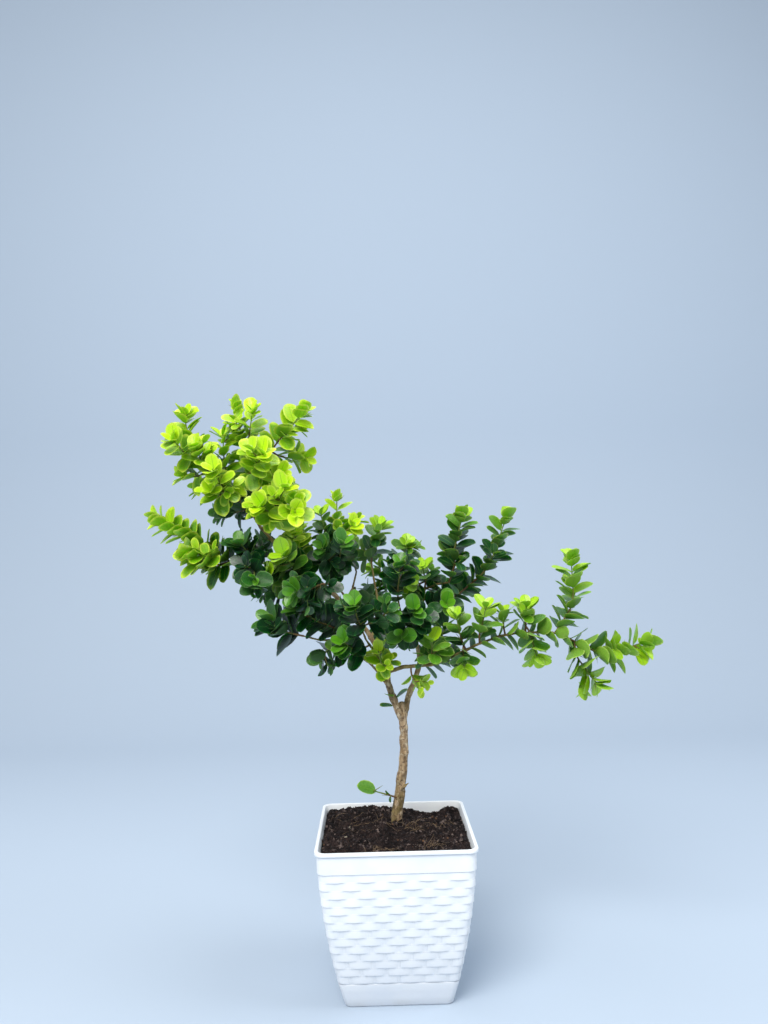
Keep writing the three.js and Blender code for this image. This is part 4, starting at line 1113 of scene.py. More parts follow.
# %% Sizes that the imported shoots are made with
BLADE_THICKNESS = 0.8 * MM
LEAF_RATIO = 0.74
LEAF_ARCH = 0.12
NEAR_STATION = 0.3
FAR_STATION = 0.7
RING_REACH = 2.2 * MM
THIN_WITHIN = 0.002 * MM
SPINE_LEAST = 5 * MM


# %% Where a leaf grows
class Leaf:
    """Where a leaf grows: its root, the way it points, the way its face looks, and its length."""

    def __init__(self, root, axis, up, length, tint=0.0):
        self.root = root
        self.axis = axis.normalized()
        self.up = (up - self.axis * up.dot(self.axis)).normalized()
        self.length = length
        self.tint = tint

    @property
    def across(self):
        return self.up.cross(self.axis)

    def at(self, reach, side=0.0):
        """The place at a share of the length, and at a share of the half width to one side."""
        half = LEAF_RATIO * self.length / 2
        middle = self.root + self.axis * (reach * self.length)
        return middle - self.up * (LEAF_ARCH * self.length * reach ** 2) + self.across * (side * half)


# %% Reading one blade
def grown_from(start, neighbours, allowed):
    """All the points that are reached from start through allowed ones."""
    found = {start}
    front = [start]
    while front:
        point = front.pop()
        for other in neighbours[point]:
            if other in allowed and other not in found:
                found.add(other)
                front.append(other)
    return found


def middle_of(points, chosen):
    return sum((points[i] for i in chosen), Vector()) / len(chosen)


def read_blade(points, neighbours, blade):
    """The leaf that an eight-cornered blade stands for, with its tip and its foot on the stem."""
    beyond = {n for i in blade for n in neighbours[i]} - blade
    tips = {n for n in beyond if neighbours[n] <= blade | beyond and len(neighbours[n] & beyond) == 1}
    foot = beyond - tips
    far = {i for i in blade if neighbours[i] & tips}
    near = blade - far
    if len(tips) != 2 or len(far) != 4 or len(near) != 4:
        return None
    at_near, at_far, at_tip = (middle_of(points, chosen) for chosen in (near, far, tips))
    left, right = (points[i] for i in tips)
    across = (right - left).normalized()
    spread = [(points[i] - at_far).dot(across) for i in far]
    length = (max(spread) - min(spread)) / LEAF_RATIO
    bend = (at_tip - at_far) / (1 - FAR_STATION) - (at_far - at_near) / (FAR_STATION - NEAR_STATION)
    up = -bend.normalized()
    drop = LEAF_ARCH * length * (FAR_STATION ** 2 - NEAR_STATION ** 2)
    axis = (at_far - at_near + up * drop).normalized()
    root = at_near - axis * (NEAR_STATION * length) + up * (LEAF_ARCH * length * NEAR_STATION ** 2)
    return Leaf(root, axis, up, length), tips, foot


# %% Reading one shoot
def read_shoot(node_name):
    """The points of a packed shoot and how they are joined, its leaves, its spines and its stem's points."""
    copy = merged_copy(node_name, "reading")
    points = [v.co.copy() for v in copy.data.vertices]
    neighbours = [set() for _ in points]
    thin = set()
    for edge in copy.data.edges:
        a, b = edge.vertices
        neighbours[a].add(b)
        neighbours[b].add(a)
        if abs((points[a] - points[b]).length - BLADE_THICKNESS) < THIN_WITHIN:
            thin |= {a, b}
    bpy.data.objects.remove(copy)
    leaves = []
    taken = set()
    for i in sorted(thin):
        if i in taken:
            continue
        blade = grown_from(i, neighbours, thin)
        taken |= blade
        found = read_blade(points, neighbours, blade) if len(blade) == 8 else None
        if found:
            leaf, tips, foot = found
            leaf.foot = foot
            leaves.append(leaf)
            taken |= tips
    stem = set(range(len(points))) - taken
    spines = []
    for i in sorted(stem):
        near = neighbours[i]
        if len(near) == 4 and all((points[i] - points[n]).length > SPINE_LEAST for n in near):
            if all(n in stem for n in neighbours[i]):
                spines.append((middle_of(points, neighbours[i]), points[i]))
                stem.discard(i)
    return points, neighbours, leaves, spines, stem


found_leaves = 0
found_spines = 0
readings = {}
for name in shoot_names:
    readings[name] = read_shoot(name)
    found_leaves += len(readings[name][2])
    found_spines += len(readings[name][3])
print(f"read {found_leaves} leaves and {found_spines} spines from {len(readings)} shoots")


# %% Reading the joints of a stem
ON_AXIS = 1.7 * MM


def stem_clusters(points, neighbours, stem):
    """Groups the corners of the stem's rings into joints, and says which joints are linked."""
    near = {i: {n for n in neighbours[i] & stem if (points[i] - points[n]).length < RING_REACH} for i in stem}
    cluster_of = {}
    clusters = []
    for i in sorted(stem):
        if i not in cluster_of:
            members = grown_from(i, near, stem)
            cluster_of.update({m: len(clusters) for m in members})
            clusters.append(members)
    links = [set() for _ in clusters]
    for i in stem:
        for n in neighbours[i] & stem:
            if cluster_of[n] != cluster_of[i]:
                links[cluster_of[i]].add(cluster_of[n])
    return clusters, cluster_of, links


# %% Linking the joints
def shortest_tree(centres, links, start):
    """The parent of every joint on its shortest way back to the start."""
    cost = {start: 0.0}
    parent = {}
    waiting = {start}
    while waiting:
        joint = min(waiting, key=cost.get)
        waiting.discard(joint)
        for other in links[joint]:
            way = cost[joint] + (centres[joint] - centres[other]).length
            if way < cost.get(other, 1e9) - 1e-9:
                cost[other] = way
                parent[other] = joint
                waiting.add(other)
    return parent


def beside(point, a, b):
    """How far a point is from the line between two joints, and the nearest place on it."""
    share = (point - a).dot(b - a) / max((b - a).length_squared, 1e-12)
    place = a.lerp(b, min(max(share, 0.0), 1.0))
    return (point - place).length, place


# %% Stems that follow the joints
class Stem:
    """One stem of a shoot: the joints it runs through, and their places after the place it starts from."""

    def __init__(self, origin):
        self.joints = [None]
        self.places = [origin]


def follow(origin, joint, heading, centres, children, stems):
    """Follows a stem from joint to joint. The straightest way on is the same stem, and others are new."""
    stem = Stem(origin)
    stems.append(stem)
    while joint is not None:
        stem.joints.append(joint)
        stem.places.append(centres[joint])
        here = centres[joint]
        heading = (here - stem.places[-2]).normalized() if heading is None else heading
        ways = children[joint]
        bases = {}
        for way in ways:
            for other in ways:
                gap, place = beside(centres[way], here, centres[other])
                further = (centres[other] - here).length > (centres[way] - here).length
                if way != other and further and gap < ON_AXIS:
                    bases[way] = place
        open_ways = [way for way in ways if way not in bases]
        onward = max(open_ways, key=lambda way: (centres[way] - here).normalized().dot(heading), default=None)
        for way, place in bases.items():
            for first in children[way]:
                follow(place, first, None, centres, children, stems)
        for way in open_ways:
            if way != onward:
                follow(here, way, None, centres, children, stems)
        if onward is not None:
            heading = (centres[onward] - here).normalized()
        joint = onward


def stems_of(points, neighbours, stem):
    """The stems of one shoot, and the joint of each ring corner."""
    clusters, cluster_of, links = stem_clusters(points, neighbours, stem)
    centres = [middle_of(points, members) for members in clusters]
    start = cluster_of[min(stem, key=lambda i: WOOD_SURFACE.find_nearest(points[i])[3])]
    children = [[] for _ in centres]
    for joint, above in shortest_tree(centres, links, start).items():
        children[above].append(joint)
    stems = []
    follow(WOOD_SURFACE.find_nearest(centres[start])[0], start, None, centres, children, stems)
    return stems, cluster_of


shoots = {}
for name, (points, neighbours, leaves, spines, stem) in readings.items():
    stems, cluster_of = stems_of(points, neighbours, stem)
    for leaf in leaves:
        leaf.joint = cluster_of[min(leaf.foot)]
    shoots[name] = (stems, leaves, spines)
print(f"{sum(len(s[0]) for s in shoots.values())} stems, the longest through "
      f"{max(len(stem.places) for s in shoots.values() for stem in s[0])} places")

# %% [markdown]
# ## One leaf, made once
# A karonda leaf is a rounded oval on a very short stalk, leathery, slightly cupped, with a sunken midrib
# and a tiny point. The crown has nearly two thousand, so it is made a few times over with few faces and
# then copied. Each copy is a closed thin body: a finer upper face, a plainer lower face, and one sharp rim
# that both share. A map laid along the leaf tells its material where the midrib, veins and rim are.

# %% One leaf, with sizes as shares of its length
HALF_WIDTH = LEAF_RATIO / 2
LEAF_STATIONS = (
    (-0.03, 0.06, 0.034), (0.04, 0.11, 0.032), (0.10, 0.50, 0.026), (0.24, 0.85, 0.020),
    (0.47, 1.0, 0.016), (0.71, 0.95, 0.013), (0.89, 0.71, 0.011), (0.975, 0.38, 0.009))
LEAF_TIP = 1.025
LEAF_KINDS = (
    {"cup": 0.22, "twist": 0.0, "wave": 0.0, "droop": 0.0, "broad": 1.14},
    {"cup": 0.38, "twist": 0.14, "wave": 0.012, "droop": 0.04, "broad": 1.02},
    {"cup": 0.12, "twist": -0.18, "wave": -0.014, "droop": -0.05, "broad": 1.08},
    {"cup": 0.04, "twist": 0.05, "wave": 0.016, "droop": 0.07, "broad": 0.9},
)
TOP_SIDES = (-1.0, -0.5, 0.0, 0.5, 1.0)


def leaf_mesh(name, kind):
    """A closed leaf one unit long, its root at the origin, pointing along +Y with its face up."""

    def place(reach, side, width, under):
        half = HALF_WIDTH * width * kind["broad"]
        x = side * half
        z = -(LEAF_ARCH + kind["droop"]) * reach ** 2
        z += kind["cup"] * half * side ** 2 * 0.9 - 0.05 * half * (1 - abs(side)) * (width > 0.1)
        z += kind["wave"] * math.sin(7 * reach + 1.6 * side) * abs(side)
        tilt = kind["twist"] * reach
        return Vector((x * math.cos(tilt), reach, z + x * math.sin(tilt) - under))

    points = []
    maps = []
    rows = []
    for reach, width, thick in LEAF_STATIONS:
        row = []
        for side in TOP_SIDES:
            row.append(len(points))
            points.append(place(reach, side, width, 0.0))
            maps.append(((side + 1) / 2, reach))
        for side in reversed(TOP_SIDES[1:-1]):
            row.append(len(points))
            points.append(place(reach, side, width, thick))
            maps.append(((side + 1) / 2, reach))
        rows.append(row)
    tip = len(points)
    points.append(place(LEAF_TIP, 0.0, 0.0, 0.0))
    maps.append((0.5, 1.0))
    faces = []
    under = []
    around = len(rows[0])
    for low, high in zip(rows, rows[1:]):
        for i in range(around):
            after = (i + 1) % around
            faces.append((low[i], low[after], high[after], high[i]))
            under.append(0.0 if i < 4 else 1.0)
    last = rows[-1]
    for i in range(around):
        faces.append((last[i], last[(i + 1) % around], tip))
        under.append(0.0 if i < 4 else 1.0)
    faces.append(tuple(reversed(rows[0])))
    under.append(1.0)
    shape = bpy.data.meshes.new(name)
    shape.from_pydata(points, [], faces)
    layer = shape.uv_layers.new(name="leaf")
    for loop in shape.loops:
        layer.data[loop.index].uv = maps[loop.vertex_index]
    side_flag = shape.attributes.new("under", "FLOAT", "FACE")
    side_flag.data.foreach_set("value", under)
    rims = {frozenset((a[k], b[k])) for a, b in zip(rows, rows[1:]) for k in (0, 4)}
    rims |= {frozenset((last[0], tip)), frozenset((last[4], tip))}
    for edge in shape.edges:
        edge.use_edge_sharp = frozenset(edge.vertices) in rims
    for polygon in shape.polygons:
        polygon.use_smooth = True
    return shape


leaf_shapes = [leaf_mesh(f"leaf_kind_{i}", kind) for i, kind in enumerate(LEAF_KINDS)]
leaf_store = hidden_collection("leaf_kinds", leaf_shapes)


# %% One spine
SPINE_SIDES = 5
SPINE_RINGS = ((-0.04, 0.052, 0.0), (0.12, 0.046, 0.0), (0.5, 0.034, 0.012), (0.85, 0.016, 0.03))


def spine_mesh():
    """A slim curved cone one unit long, along +Y."""
    points = []
    for reach, radius, bow in SPINE_RINGS:
        for i in range(SPINE_SIDES):
            angle = 2 * math.pi * i / SPINE_SIDES
            points.append((radius * math.cos(angle), reach, radius * math.sin(angle) + bow))
    faces = [tuple(range(SPINE_SIDES))]
    for ring in range(len(SPINE_RINGS) - 1):
        low = ring * SPINE_SIDES
        faces += [tuple(reversed(f)) for f in ring_faces(low, low + SPINE_SIDES, SPINE_SIDES)]
    tip = len(points)
    points.append((0, 1, 0.045))
    low = tip - SPINE_SIDES
    faces += [(low + (i + 1) % SPINE_SIDES, low + i, tip) for i in range(SPINE_SIDES)]
    shape = bpy.data.meshes.new("spine")
    shape.from_pydata(points, [], faces)
    shape.shade_smooth()
    return shape


spine_store = hidden_collection("spine", [spine_mesh()])
print(f"spine: {SPINE_SIDES} sides, {len(SPINE_RINGS)} rings")


# %% Check that the copied shapes are closed and face outwards
def volume_of(shape):
    work = bmesh.new()
    work.from_mesh(shape)
    open_edges = sum(1 for edge in work.edges if len(edge.link_faces) != 2)
    volume = work.calc_volume(signed=True)
    work.free()
    return volume, open_edges


for thing in [*leaf_store.objects, *spine_store.objects]:
    volume, open_edges = volume_of(thing.data)
    print(f"{thing.name}: volume {volume:.5f}, open edges {open_edges}")

# %% [markdown]
# ## Twigs, and the room around them
# A packed stem runs straight from joint to joint, and a real twig bends gently through them, so each stem
# becomes a smooth way with a girth. One twig, low on the trunk, is set where the real one grows. Every
# leaf and twig then goes into a crowd of simple patches. Later steps ask the crowd whether a new or turned
# leaf would cut anything, which is far quicker than testing the finished meshes.

# %% Smooth ways along the stems
STEM_STEPS = 5
STEM_ROOT_SINK = 1.3 * MM
STEM_BASE_GIRTH = 1.15 * MM
STEM_TIP_GIRTH = 0.6 * MM
TIP_REACH = 2.5 * MM
FIRST_STEP = 1.5 * MM


def smooth_way(places, steps):
    """Points on a smooth curve through the places, so many for each stretch between two of them."""
    def ahead(i):
        before = places[max(i - 1, 0)]
        after = places[min(i + 1, len(places) - 1)]
        return (after - before) / 2

    way = []
    for i in range(len(places) - 1):
        a, b = places[i], places[i + 1]
        for step in range(steps):
            t = step / steps
            curve = (a * (2 * t ** 3 - 3 * t ** 2 + 1) + ahead(i) * (t ** 3 - 2 * t ** 2 + t)
                     + b * (3 * t ** 2 - 2 * t ** 3) + ahead(i + 1) * (t ** 3 - t ** 2))
            way.append(curve)
    way.append(places[-1])
    return way


class Twig:
    """A stem as a smooth way, with a girth and a share of its length at every point."""

    def __init__(self, stem, from_wood):
        places = list(stem.places)
        if from_wood:
            places[0] = places[0] + (places[0] - places[1]).normalized() * STEM_ROOT_SINK
            if (stem.places[1] - stem.places[0]).length < FIRST_STEP:
                places.pop(1)
        places.append(places[-1] + (places[-1] - places[-2]).normalized() * TIP_REACH)
        self.joints = dict(zip(stem.joints[1:], stem.places[1:]))
        self.way = smooth_way(places, STEM_STEPS)
        lengths = [0.0]
        for a, b in zip(self.way, self.way[1:]):
            lengths.append(lengths[-1] + (b - a).length)
        self.length = lengths[-1]
        self.shares = [x / self.length for x in lengths]

    def share_of(self, place):
        nearest = min(range(len(self.way)), key=lambda i: (self.way[i] - place).length_squared)
        return self.shares[nearest]

    def at(self, share):
        """The place and the direction at a share of the length."""
        i = next((k for k in range(1, len(self.shares)) if self.shares[k] >= share), len(self.shares) - 1)
        a, b = self.way[i - 1], self.way[i]
        part = (share - self.shares[i - 1]) / max(self.shares[i] - self.shares[i - 1], 1e-9)
        return a.lerp(b, min(max(part, 0.0), 1.0)), (b - a).normalized()

    def girth(self, share):
        return STEM_BASE_GIRTH + (STEM_TIP_GIRTH - STEM_BASE_GIRTH) * share


twigs = {}
for name, (stems, leaves, spines) in shoots.items():
    twigs[name] = [Twig(stem, i == 0) for i, stem in enumerate(stems)]
print(f"{sum(len(t) for t in twigs.values())} twigs, "
      f"{sum(t.length for group in twigs.values() for t in group):.1f} m in all")


# %% The lowest twig, lower than its packed stand-in, with one leaf and a thorn
LOWEST = "shoot_trunk_01"
LEAF_SETTLES = 8 * MM
FOOT_SETTLES = 20 * MM
LOW_LEAF_AXIS = Vector((-0.88, -0.15, 0.42))
LOW_LEAF_UP = Vector((0.3, -0.5, 0.8))
LOW_LEAF_LENGTH = 22 * MM
LOW_THORN = Vector((11, -1, 6)) * MM
BUD = 0.4


def settled(place):
    """Moves a place on the lowest twig down, most of all where the twig leaves the trunk."""
    share = twigs[LOWEST][0].share_of(place)
    return place - Vector((0, 0, FOOT_SETTLES + (LEAF_SETTLES - FOOT_SETTLES) * share))


low_leaves = shoots[LOWEST][1]
for leaf in low_leaves:
    leaf.root = settled(leaf.root)
for bud in low_leaves[:-1]:
    bud.length *= BUD
low_leaves[-1].length = LOW_LEAF_LENGTH
low_leaves[-1].axis = LOW_LEAF_AXIS.normalized()
low_leaves[-1].up = (LOW_LEAF_UP - low_leaves[-1].axis * LOW_LEAF_UP.dot(low_leaves[-1].axis)).normalized()
low_spines = shoots[LOWEST][2]
low_spines[:] = [(settled(root), settled(root) + tip - root) for root, tip in low_spines]
low_twig = twigs[LOWEST][0]
low_twig.joints = {joint: settled(place) for joint, place in low_twig.joints.items()}
low_twig.way = [settled(place) for place in low_twig.way]
low_spines.append((low_twig.way[-1], low_twig.way[-1] + LOW_THORN))
print(f"the lowest twig leaves the trunk at {low_twig.way[0].z / MM:.0f} mm")


# %% The crowd of leaves and stems
CROWD_LIMIT = 9000
STEM_GUARD = 0.7 * MM
PATCH_ROWS = ((0.16, 0.6), (0.4, 1.0), (0.7, 1.0), (0.98, 0.5))


def leaf_patch(leaf):
    """A coarse patch that stands for a leaf when two are tested against each other."""
    points = [leaf.at(reach, side * width) for reach, width in PATCH_ROWS for side in (-1, 0, 1)]
    faces = [(r * 3 + s, r * 3 + s + 1, r * 3 + s + 4, r * 3 + s + 3) for r in range(3) for s in range(2)]
    return points, faces


def stem_patch(a, b, radius):
    """A three-sided tube between two places."""
    along = (b - a).normalized()
    side = along.orthogonal().normalized()
    spokes = [Matrix.Rotation(2 * math.pi * i / 3, 3, along) @ side * radius for i in range(3)]
    points = [a + s for s in spokes] + [b + s for s in spokes]
    return points, [(0, 1, 4, 3), (1, 2, 5, 4), (2, 0, 3, 5)]


class Crowd:
    """Every leaf and stem as a coarse patch, with its middle and its reach for a quick first test."""

    def __init__(self):
        self.middles = np.zeros((CROWD_LIMIT, 3))
        self.reaches = np.zeros(CROWD_LIMIT)
        self.shapes = []

    def set(self, index, patch):
        points, faces = patch
        middle = sum(points, Vector()) / len(points)
        self.shapes[index] = BVHTree.FromPolygons(points, faces)
        self.middles[index] = middle
        self.reaches[index] = max((p - middle).length for p in points)

    def add(self, patch):
        self.shapes.append(None)
        self.set(len(self.shapes) - 1, patch)
        return len(self.shapes) - 1

    def meets(self, patch, besides=-1):
        """True where the patch cuts something in the crowd, or the wood, or reaches into the pot."""
        points, faces = patch
        if min(p.z for p in points) < POT_HEIGHT:
            return True
        shape = BVHTree.FromPolygons(points, faces)
        if WOOD_SURFACE.overlap(shape):
            return True
        count = len(self.shapes)
        middle = sum(points, Vector()) / len(points)
        reach = max((p - middle).length for p in points)
        away = np.linalg.norm(self.middles[:count] - np.array(middle), axis=1)
        near = np.nonzero(away < self.reaches[:count] + reach)[0]
        return any(k != besides and shape.overlap(self.shapes[k]) for k in near)


crowd = Crowd()
for name, (stems, leaves, spines) in shoots.items():
    for leaf in leaves:
        leaf.member = crowd.add(leaf_patch(leaf))
    for twig in twigs[name]:
        for a, b in zip(twig.way[::2], twig.way[2::2]):
            crowd.add(stem_patch(a, b, STEM_GUARD))
print(f"{len(crowd.shapes)} shapes that a new leaf keeps clear of")

# %% [markdown]
# ## How each part of the crown grows
# The crown isn't the same all over. At the top left the leaves turn their faces to the light. The upright
# shoots on the right carry tidy pairs, and the long low branch holds its leaves edge on, one pair after
# another, with sky between them. The inner crown is crowded with short side sprigs, and a few sparse
# shoots get no new pairs. A habit says how large the leaves are, how many millimetres lie between two
# pairs, how far the leaves turn, how often a side sprig grows, and how young and how aged the leaves look.

# %% Habits
HABITS = {
    "crown": {"size": 0.98, "spacing": 8.0, "roll": 0.75, "sprigs": 0.24, "young": 0.0, "aged": 0.02},
    "west": {"size": 1.05, "spacing": 7.5, "roll": 0.6, "sprigs": 0.45, "young": 0.0, "aged": 0.2},
    "west_01": {"size": 1.16, "spacing": 5.8, "roll": 0.6, "sprigs": 0.48, "young": 0.0, "aged": 0.46},
    "ridge": {"size": 0.94, "spacing": 8.0, "roll": 0.5, "sprigs": 0.3, "young": 0.0, "aged": 0.2},
    "centre": {"size": 0.94, "spacing": 8.0, "roll": 0.6, "sprigs": 0.4, "young": 0.0, "aged": 0.1},
    "east": {"size": 1.0, "spacing": 8.0, "roll": 0.4, "sprigs": 0.3, "young": 0.1, "aged": 0.0},
    "east_03": {"size": 1.12, "spacing": 6.5, "roll": 0.55, "sprigs": 0.16, "young": 0.0, "aged": 0.32},
    "east_04": {"size": 1.12, "spacing": 6.5, "roll": 0.55, "sprigs": 0.16, "young": 0.0, "aged": 0.28},
    "trunk_01": {"size": 1.0, "spacing": 8.0, "roll": 0.3, "sprigs": 0.0, "young": -0.7, "aged": 0.0},
    "side_01": {"size": 0.9, "spacing": 8.0, "roll": 0.3, "sprigs": 0.0, "young": -0.25, "aged": 0.3},
    "east_08": {"size": 0.86, "spacing": 7.5, "roll": 0.3, "sprigs": 0.0, "young": -0.1, "aged": 0.0},
    "east_09": {"size": 1.0, "spacing": 7.5, "roll": 0.3, "sprigs": 0.1, "young": 0.3, "aged": 0.0},
    "east_10": {"size": 1.0, "spacing": 7.5, "roll": 0.3, "sprigs": 0.1, "young": 0.35, "aged": 0.0},
    "east_11": {"size": 1.0, "spacing": 7.5, "roll": 0.3, "sprigs": 0.1, "young": 0.3, "aged": 0.0},
    "east_12": {"size": 1.18, "spacing": 6.5, "roll": 0.4, "sprigs": 0.08, "young": 0.55, "aged": 0.0},
    "east_13": {"size": 1.22, "spacing": 6.5, "roll": 0.5, "sprigs": 0.22, "young": 0.6, "aged": 0.0},
}
SPARSE = ("east_05", "east_07", "centre_05", "side_01", "trunk_01")


def habit_of(name):
    """A shoot's own habit, or that of its part of the crown."""
    part = name.removeprefix("shoot_")
    return HABITS.get(part) or HABITS[part.split("_")[0]]


print(f"{len(HABITS)} habits for {len(shoot_names)} shoots")


# %% [markdown]
# ## Turning leaves to the light
# A leaf stalk twists until its leaf faces the light, which comes from above and in front. Each packed leaf
# keeps its root, its line and its place. It only rolls about its own length, as far as its neighbours leave
# room, and its habit makes it a little smaller or larger.

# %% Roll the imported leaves
LIGHT_FROM = Vector((-0.22, -0.62, 0.75)).normalized()
MOST_ROLL = math.radians(65)


def rolled(leaf, share):
    """The leaf turned about its own length by a share of the way to the light."""
    wanted = LIGHT_FROM - leaf.axis * LIGHT_FROM.dot(leaf.axis)
    angle = math.atan2(leaf.up.cross(wanted).dot(leaf.axis), leaf.up.dot(wanted))
    angle = max(-MOST_ROLL, min(MOST_ROLL, angle)) * share
    up = Matrix.Rotation(angle, 3, leaf.axis) @ leaf.up
    return Leaf(leaf.root, leaf.axis, up, leaf.length, leaf.tint)


rng = random.Random(7)
turned_count = 0
for name in shoot_names:
    habit = habit_of(name)
    for leaf in shoots[name][1]:
        leaf.length *= habit["size"] * rng.uniform(0.94, 1.06)
        crowd.set(leaf.member, leaf_patch(leaf))
for name in shoot_names:
    habit = habit_of(name)
    for leaf in shoots[name][1]:
        wish = habit["roll"] * rng.uniform(0.5, 1.4)
        for share in (1.0, 0.75, 0.5, 0.25):
            better = rolled(leaf, min(wish, 1.0) * share)
            patch = leaf_patch(better)
            if not crowd.meets(patch, leaf.member):
                crowd.set(leaf.member, patch)
                leaf.up = better.up
                turned_count += 1
                break
print(f"{turned_count} of {found_leaves} leaves turned to the light")

# %% [markdown]
# ## Filling in the crown
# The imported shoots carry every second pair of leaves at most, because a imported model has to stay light.
# The real twigs have a pair every 6 to 8 mm, each turned a quarter from the one before, and small young
# pairs at the tip. Those are added here, then short side sprigs, and last some leaves that grow straight
# from thin limbs. Each new leaf is tried at its joint, turned and shrunk a little, until it cuts no other
# leaf, stem or branch, as leaves on a real twig slide past each other.

# %% New leaves
RISE = math.radians(54)
YOUNG_RISE = math.radians(32)
TIP_PAIRS = ((0.985, 0.66, YOUNG_RISE), (0.93, 0.8, RISE))
TIP_SHRINK = 0.25
LEAF_STAND = 0.7
TRIALS = [(size, yaw, rise, roll) for size in (1.0, 0.86, 0.7) for rise in (0, -14, 14, -28)
          for yaw in (0, 20, -20) for roll in (1.0, 0.4)]


def frame_at(along):
    """A level direction across a twig, from which turns round it are counted."""
    return (along.cross(Vector((0, 0, 1))) if abs(along.z) < 0.95 else along.orthogonal()).normalized()


def turn_of(twig, leaf, share):
    """How far round its twig a leaf points."""
    along = twig.at(share)[1]
    side = frame_at(along)
    return math.atan2(side.cross(leaf.axis).dot(along), leaf.axis.dot(side))


# %% Trying one leaf, and a pair
def try_leaf(centre, along, out, reach, length, rise, tint, roll):
    """Fits one new leaf at a distance from the middle of its stem, or gives None where there is no room."""
    for size, yaw, more, part in TRIALS:
        angle = rise + math.radians(more)
        turned = Matrix.Rotation(math.radians(yaw), 3, along) @ out
        axis = along * math.cos(angle) + turned * math.sin(angle)
        up = along * math.sin(angle) - turned * math.cos(angle)
        leaf = Leaf(centre + turned * reach, axis, up, length * size, tint)
        leaf = rolled(leaf, roll * part)
        patch = leaf_patch(leaf)
        if not crowd.meets(patch):
            leaf.member = crowd.add(patch)
            return leaf
    return None


def add_pair(twig, share, round_angle, length, rise, tint, roll, found):
    """Tries two new leaves on opposite sides of a twig, and puts those that fit in found."""
    place, along = twig.at(share)
    for half_turn in (0, math.pi):
        angle = round_angle + half_turn + rng.uniform(-0.25, 0.25)
        out = Matrix.Rotation(angle, 3, along) @ frame_at(along)
        leaf = try_leaf(place, along, out, twig.girth(share) * LEAF_STAND, length * rng.uniform(0.9, 1.1),
                        rise + rng.uniform(-0.14, 0.14), tint, min(1.0, roll * rng.uniform(0.5, 1.4)))
        if leaf:
            found.append(leaf)


# %% New pairs along every twig
added = {}
for name in shoot_names:
    stems, leaves, spines = shoots[name]
    new_leaves = []
    added[name] = new_leaves
    for leaf in leaves:
        twig = next((t for t in twigs[name] if leaf.joint in t.joints), twigs[name][0])
        leaf.tint = twig.share_of(twig.joints.get(leaf.joint, leaf.root))
        leaf.twig = twig
    if name.removeprefix("shoot_") in SPARSE:
        continue
    habit = habit_of(name)
    usual = sorted(leaf.length for leaf in leaves)[len(leaves) // 2]
    for twig in twigs[name]:
        turns = {leaf.tint: turn_of(twig, leaf, leaf.tint) for leaf in leaves if leaf.twig == twig}
        shares = sorted({0.0, *turns})
        turn_now = rng.uniform(0, math.pi)
        for low, high in zip(shares, [*shares[1:], 1.0]):
            turn_now = turns.get(low, turn_now)
            missing = round((high - low) * twig.length / (habit["spacing"] * MM)) - 1
            for i in range(missing):
                turn_now += math.pi / 2
                share = low + (high - low) * (i + 1) / (missing + 1)
                size = usual * (1.0 - TIP_SHRINK * share ** 3)
                add_pair(twig, share, turn_now, size, RISE, share, habit["roll"], new_leaves)
        for share, size, rise in TIP_PAIRS:
            turn_now += math.pi / 2
            add_pair(twig, share, turn_now, usual * size, rise, share, habit["roll"], new_leaves)
print(f"{sum(len(x) for x in added.values())} leaves added to {found_leaves}")


# %% Side sprigs
SPRIG_BOW = 0.08
SPRIG_GIRTH = 0.75
SPRIG_TAPER = 0.3
SPRIG_LEAD = 2.5
SPRIG_GUARD = 0.6 * MM
YOUNG_SHARE = 0.9


class Sprig(Twig):
    """A short straight side twig."""

    def __init__(self, foot, tip):
        bow = (tip - foot).orthogonal().normalized() * (tip - foot).length * SPRIG_BOW
        self.joints = {}
        self.way = [foot, foot.lerp(tip, 0.35) + bow, foot.lerp(tip, 0.7) + bow, tip]
        self.way = smooth_way(self.way, 2)
        self.shares = [i / (len(self.way) - 1) for i in range(len(self.way))]
        self.length = (tip - foot).length

    def girth(self, share):
        return (SPRIG_GIRTH - SPRIG_TAPER * share) * MM


SPRIG_LENGTH = 15 * MM
SPRIG_SPOTS = (0.12, 0.24, 0.36, 0.48, 0.6, 0.72, 0.84)
SPRIG_TRIES = 6
SPRIG_FEWEST = 3
SPRIG_PAIRS = ((0.98, 0.55), (0.68, 0.8), (0.36, 0.85))
sprig_count = 0
for name in shoot_names:
    habit = habit_of(name)
    usual = sorted(leaf.length for leaf in shoots[name][1])[len(shoots[name][1]) // 2]
    for twig in list(twigs[name]):
        for spot in SPRIG_SPOTS:
            if rng.random() > habit["sprigs"]:
                continue
            foot, along = twig.at(spot)
            for attempt in range(SPRIG_TRIES):
                side = Matrix.Rotation(rng.uniform(0, 2 * math.pi), 3, along) @ frame_at(along)
                heading = (along * rng.uniform(0.4, 1.0) + side + Vector((0, 0, 0.2))).normalized()
                tip = foot + heading * SPRIG_LENGTH * rng.uniform(0.8, 1.2)
                stem = stem_patch(foot + heading * SPRIG_LEAD * MM, tip, SPRIG_GUARD)
                if crowd.meets(stem):
                    continue
                sprig = Sprig(foot, tip)
                before = len(crowd.shapes)
                new_leaves = []
                turn_now = rng.uniform(0, math.pi)
                for share, size in SPRIG_PAIRS:
                    rise = RISE if share < YOUNG_SHARE else YOUNG_RISE
                    tint = spot * 0.6 + 0.4 * share
                    add_pair(sprig, share, turn_now, usual * size, rise, tint, habit["roll"], new_leaves)
                    turn_now += math.pi / 2
                if len(new_leaves) >= SPRIG_FEWEST:
                    crowd.add(stem)
                    twigs[name].append(sprig)
                    added[name] += new_leaves
                    sprig_count += 1
                    break
                del crowd.shapes[before:]
print(f"{sprig_count} side sprigs, {sum(len(x) for x in added.values())} new leaves in all")

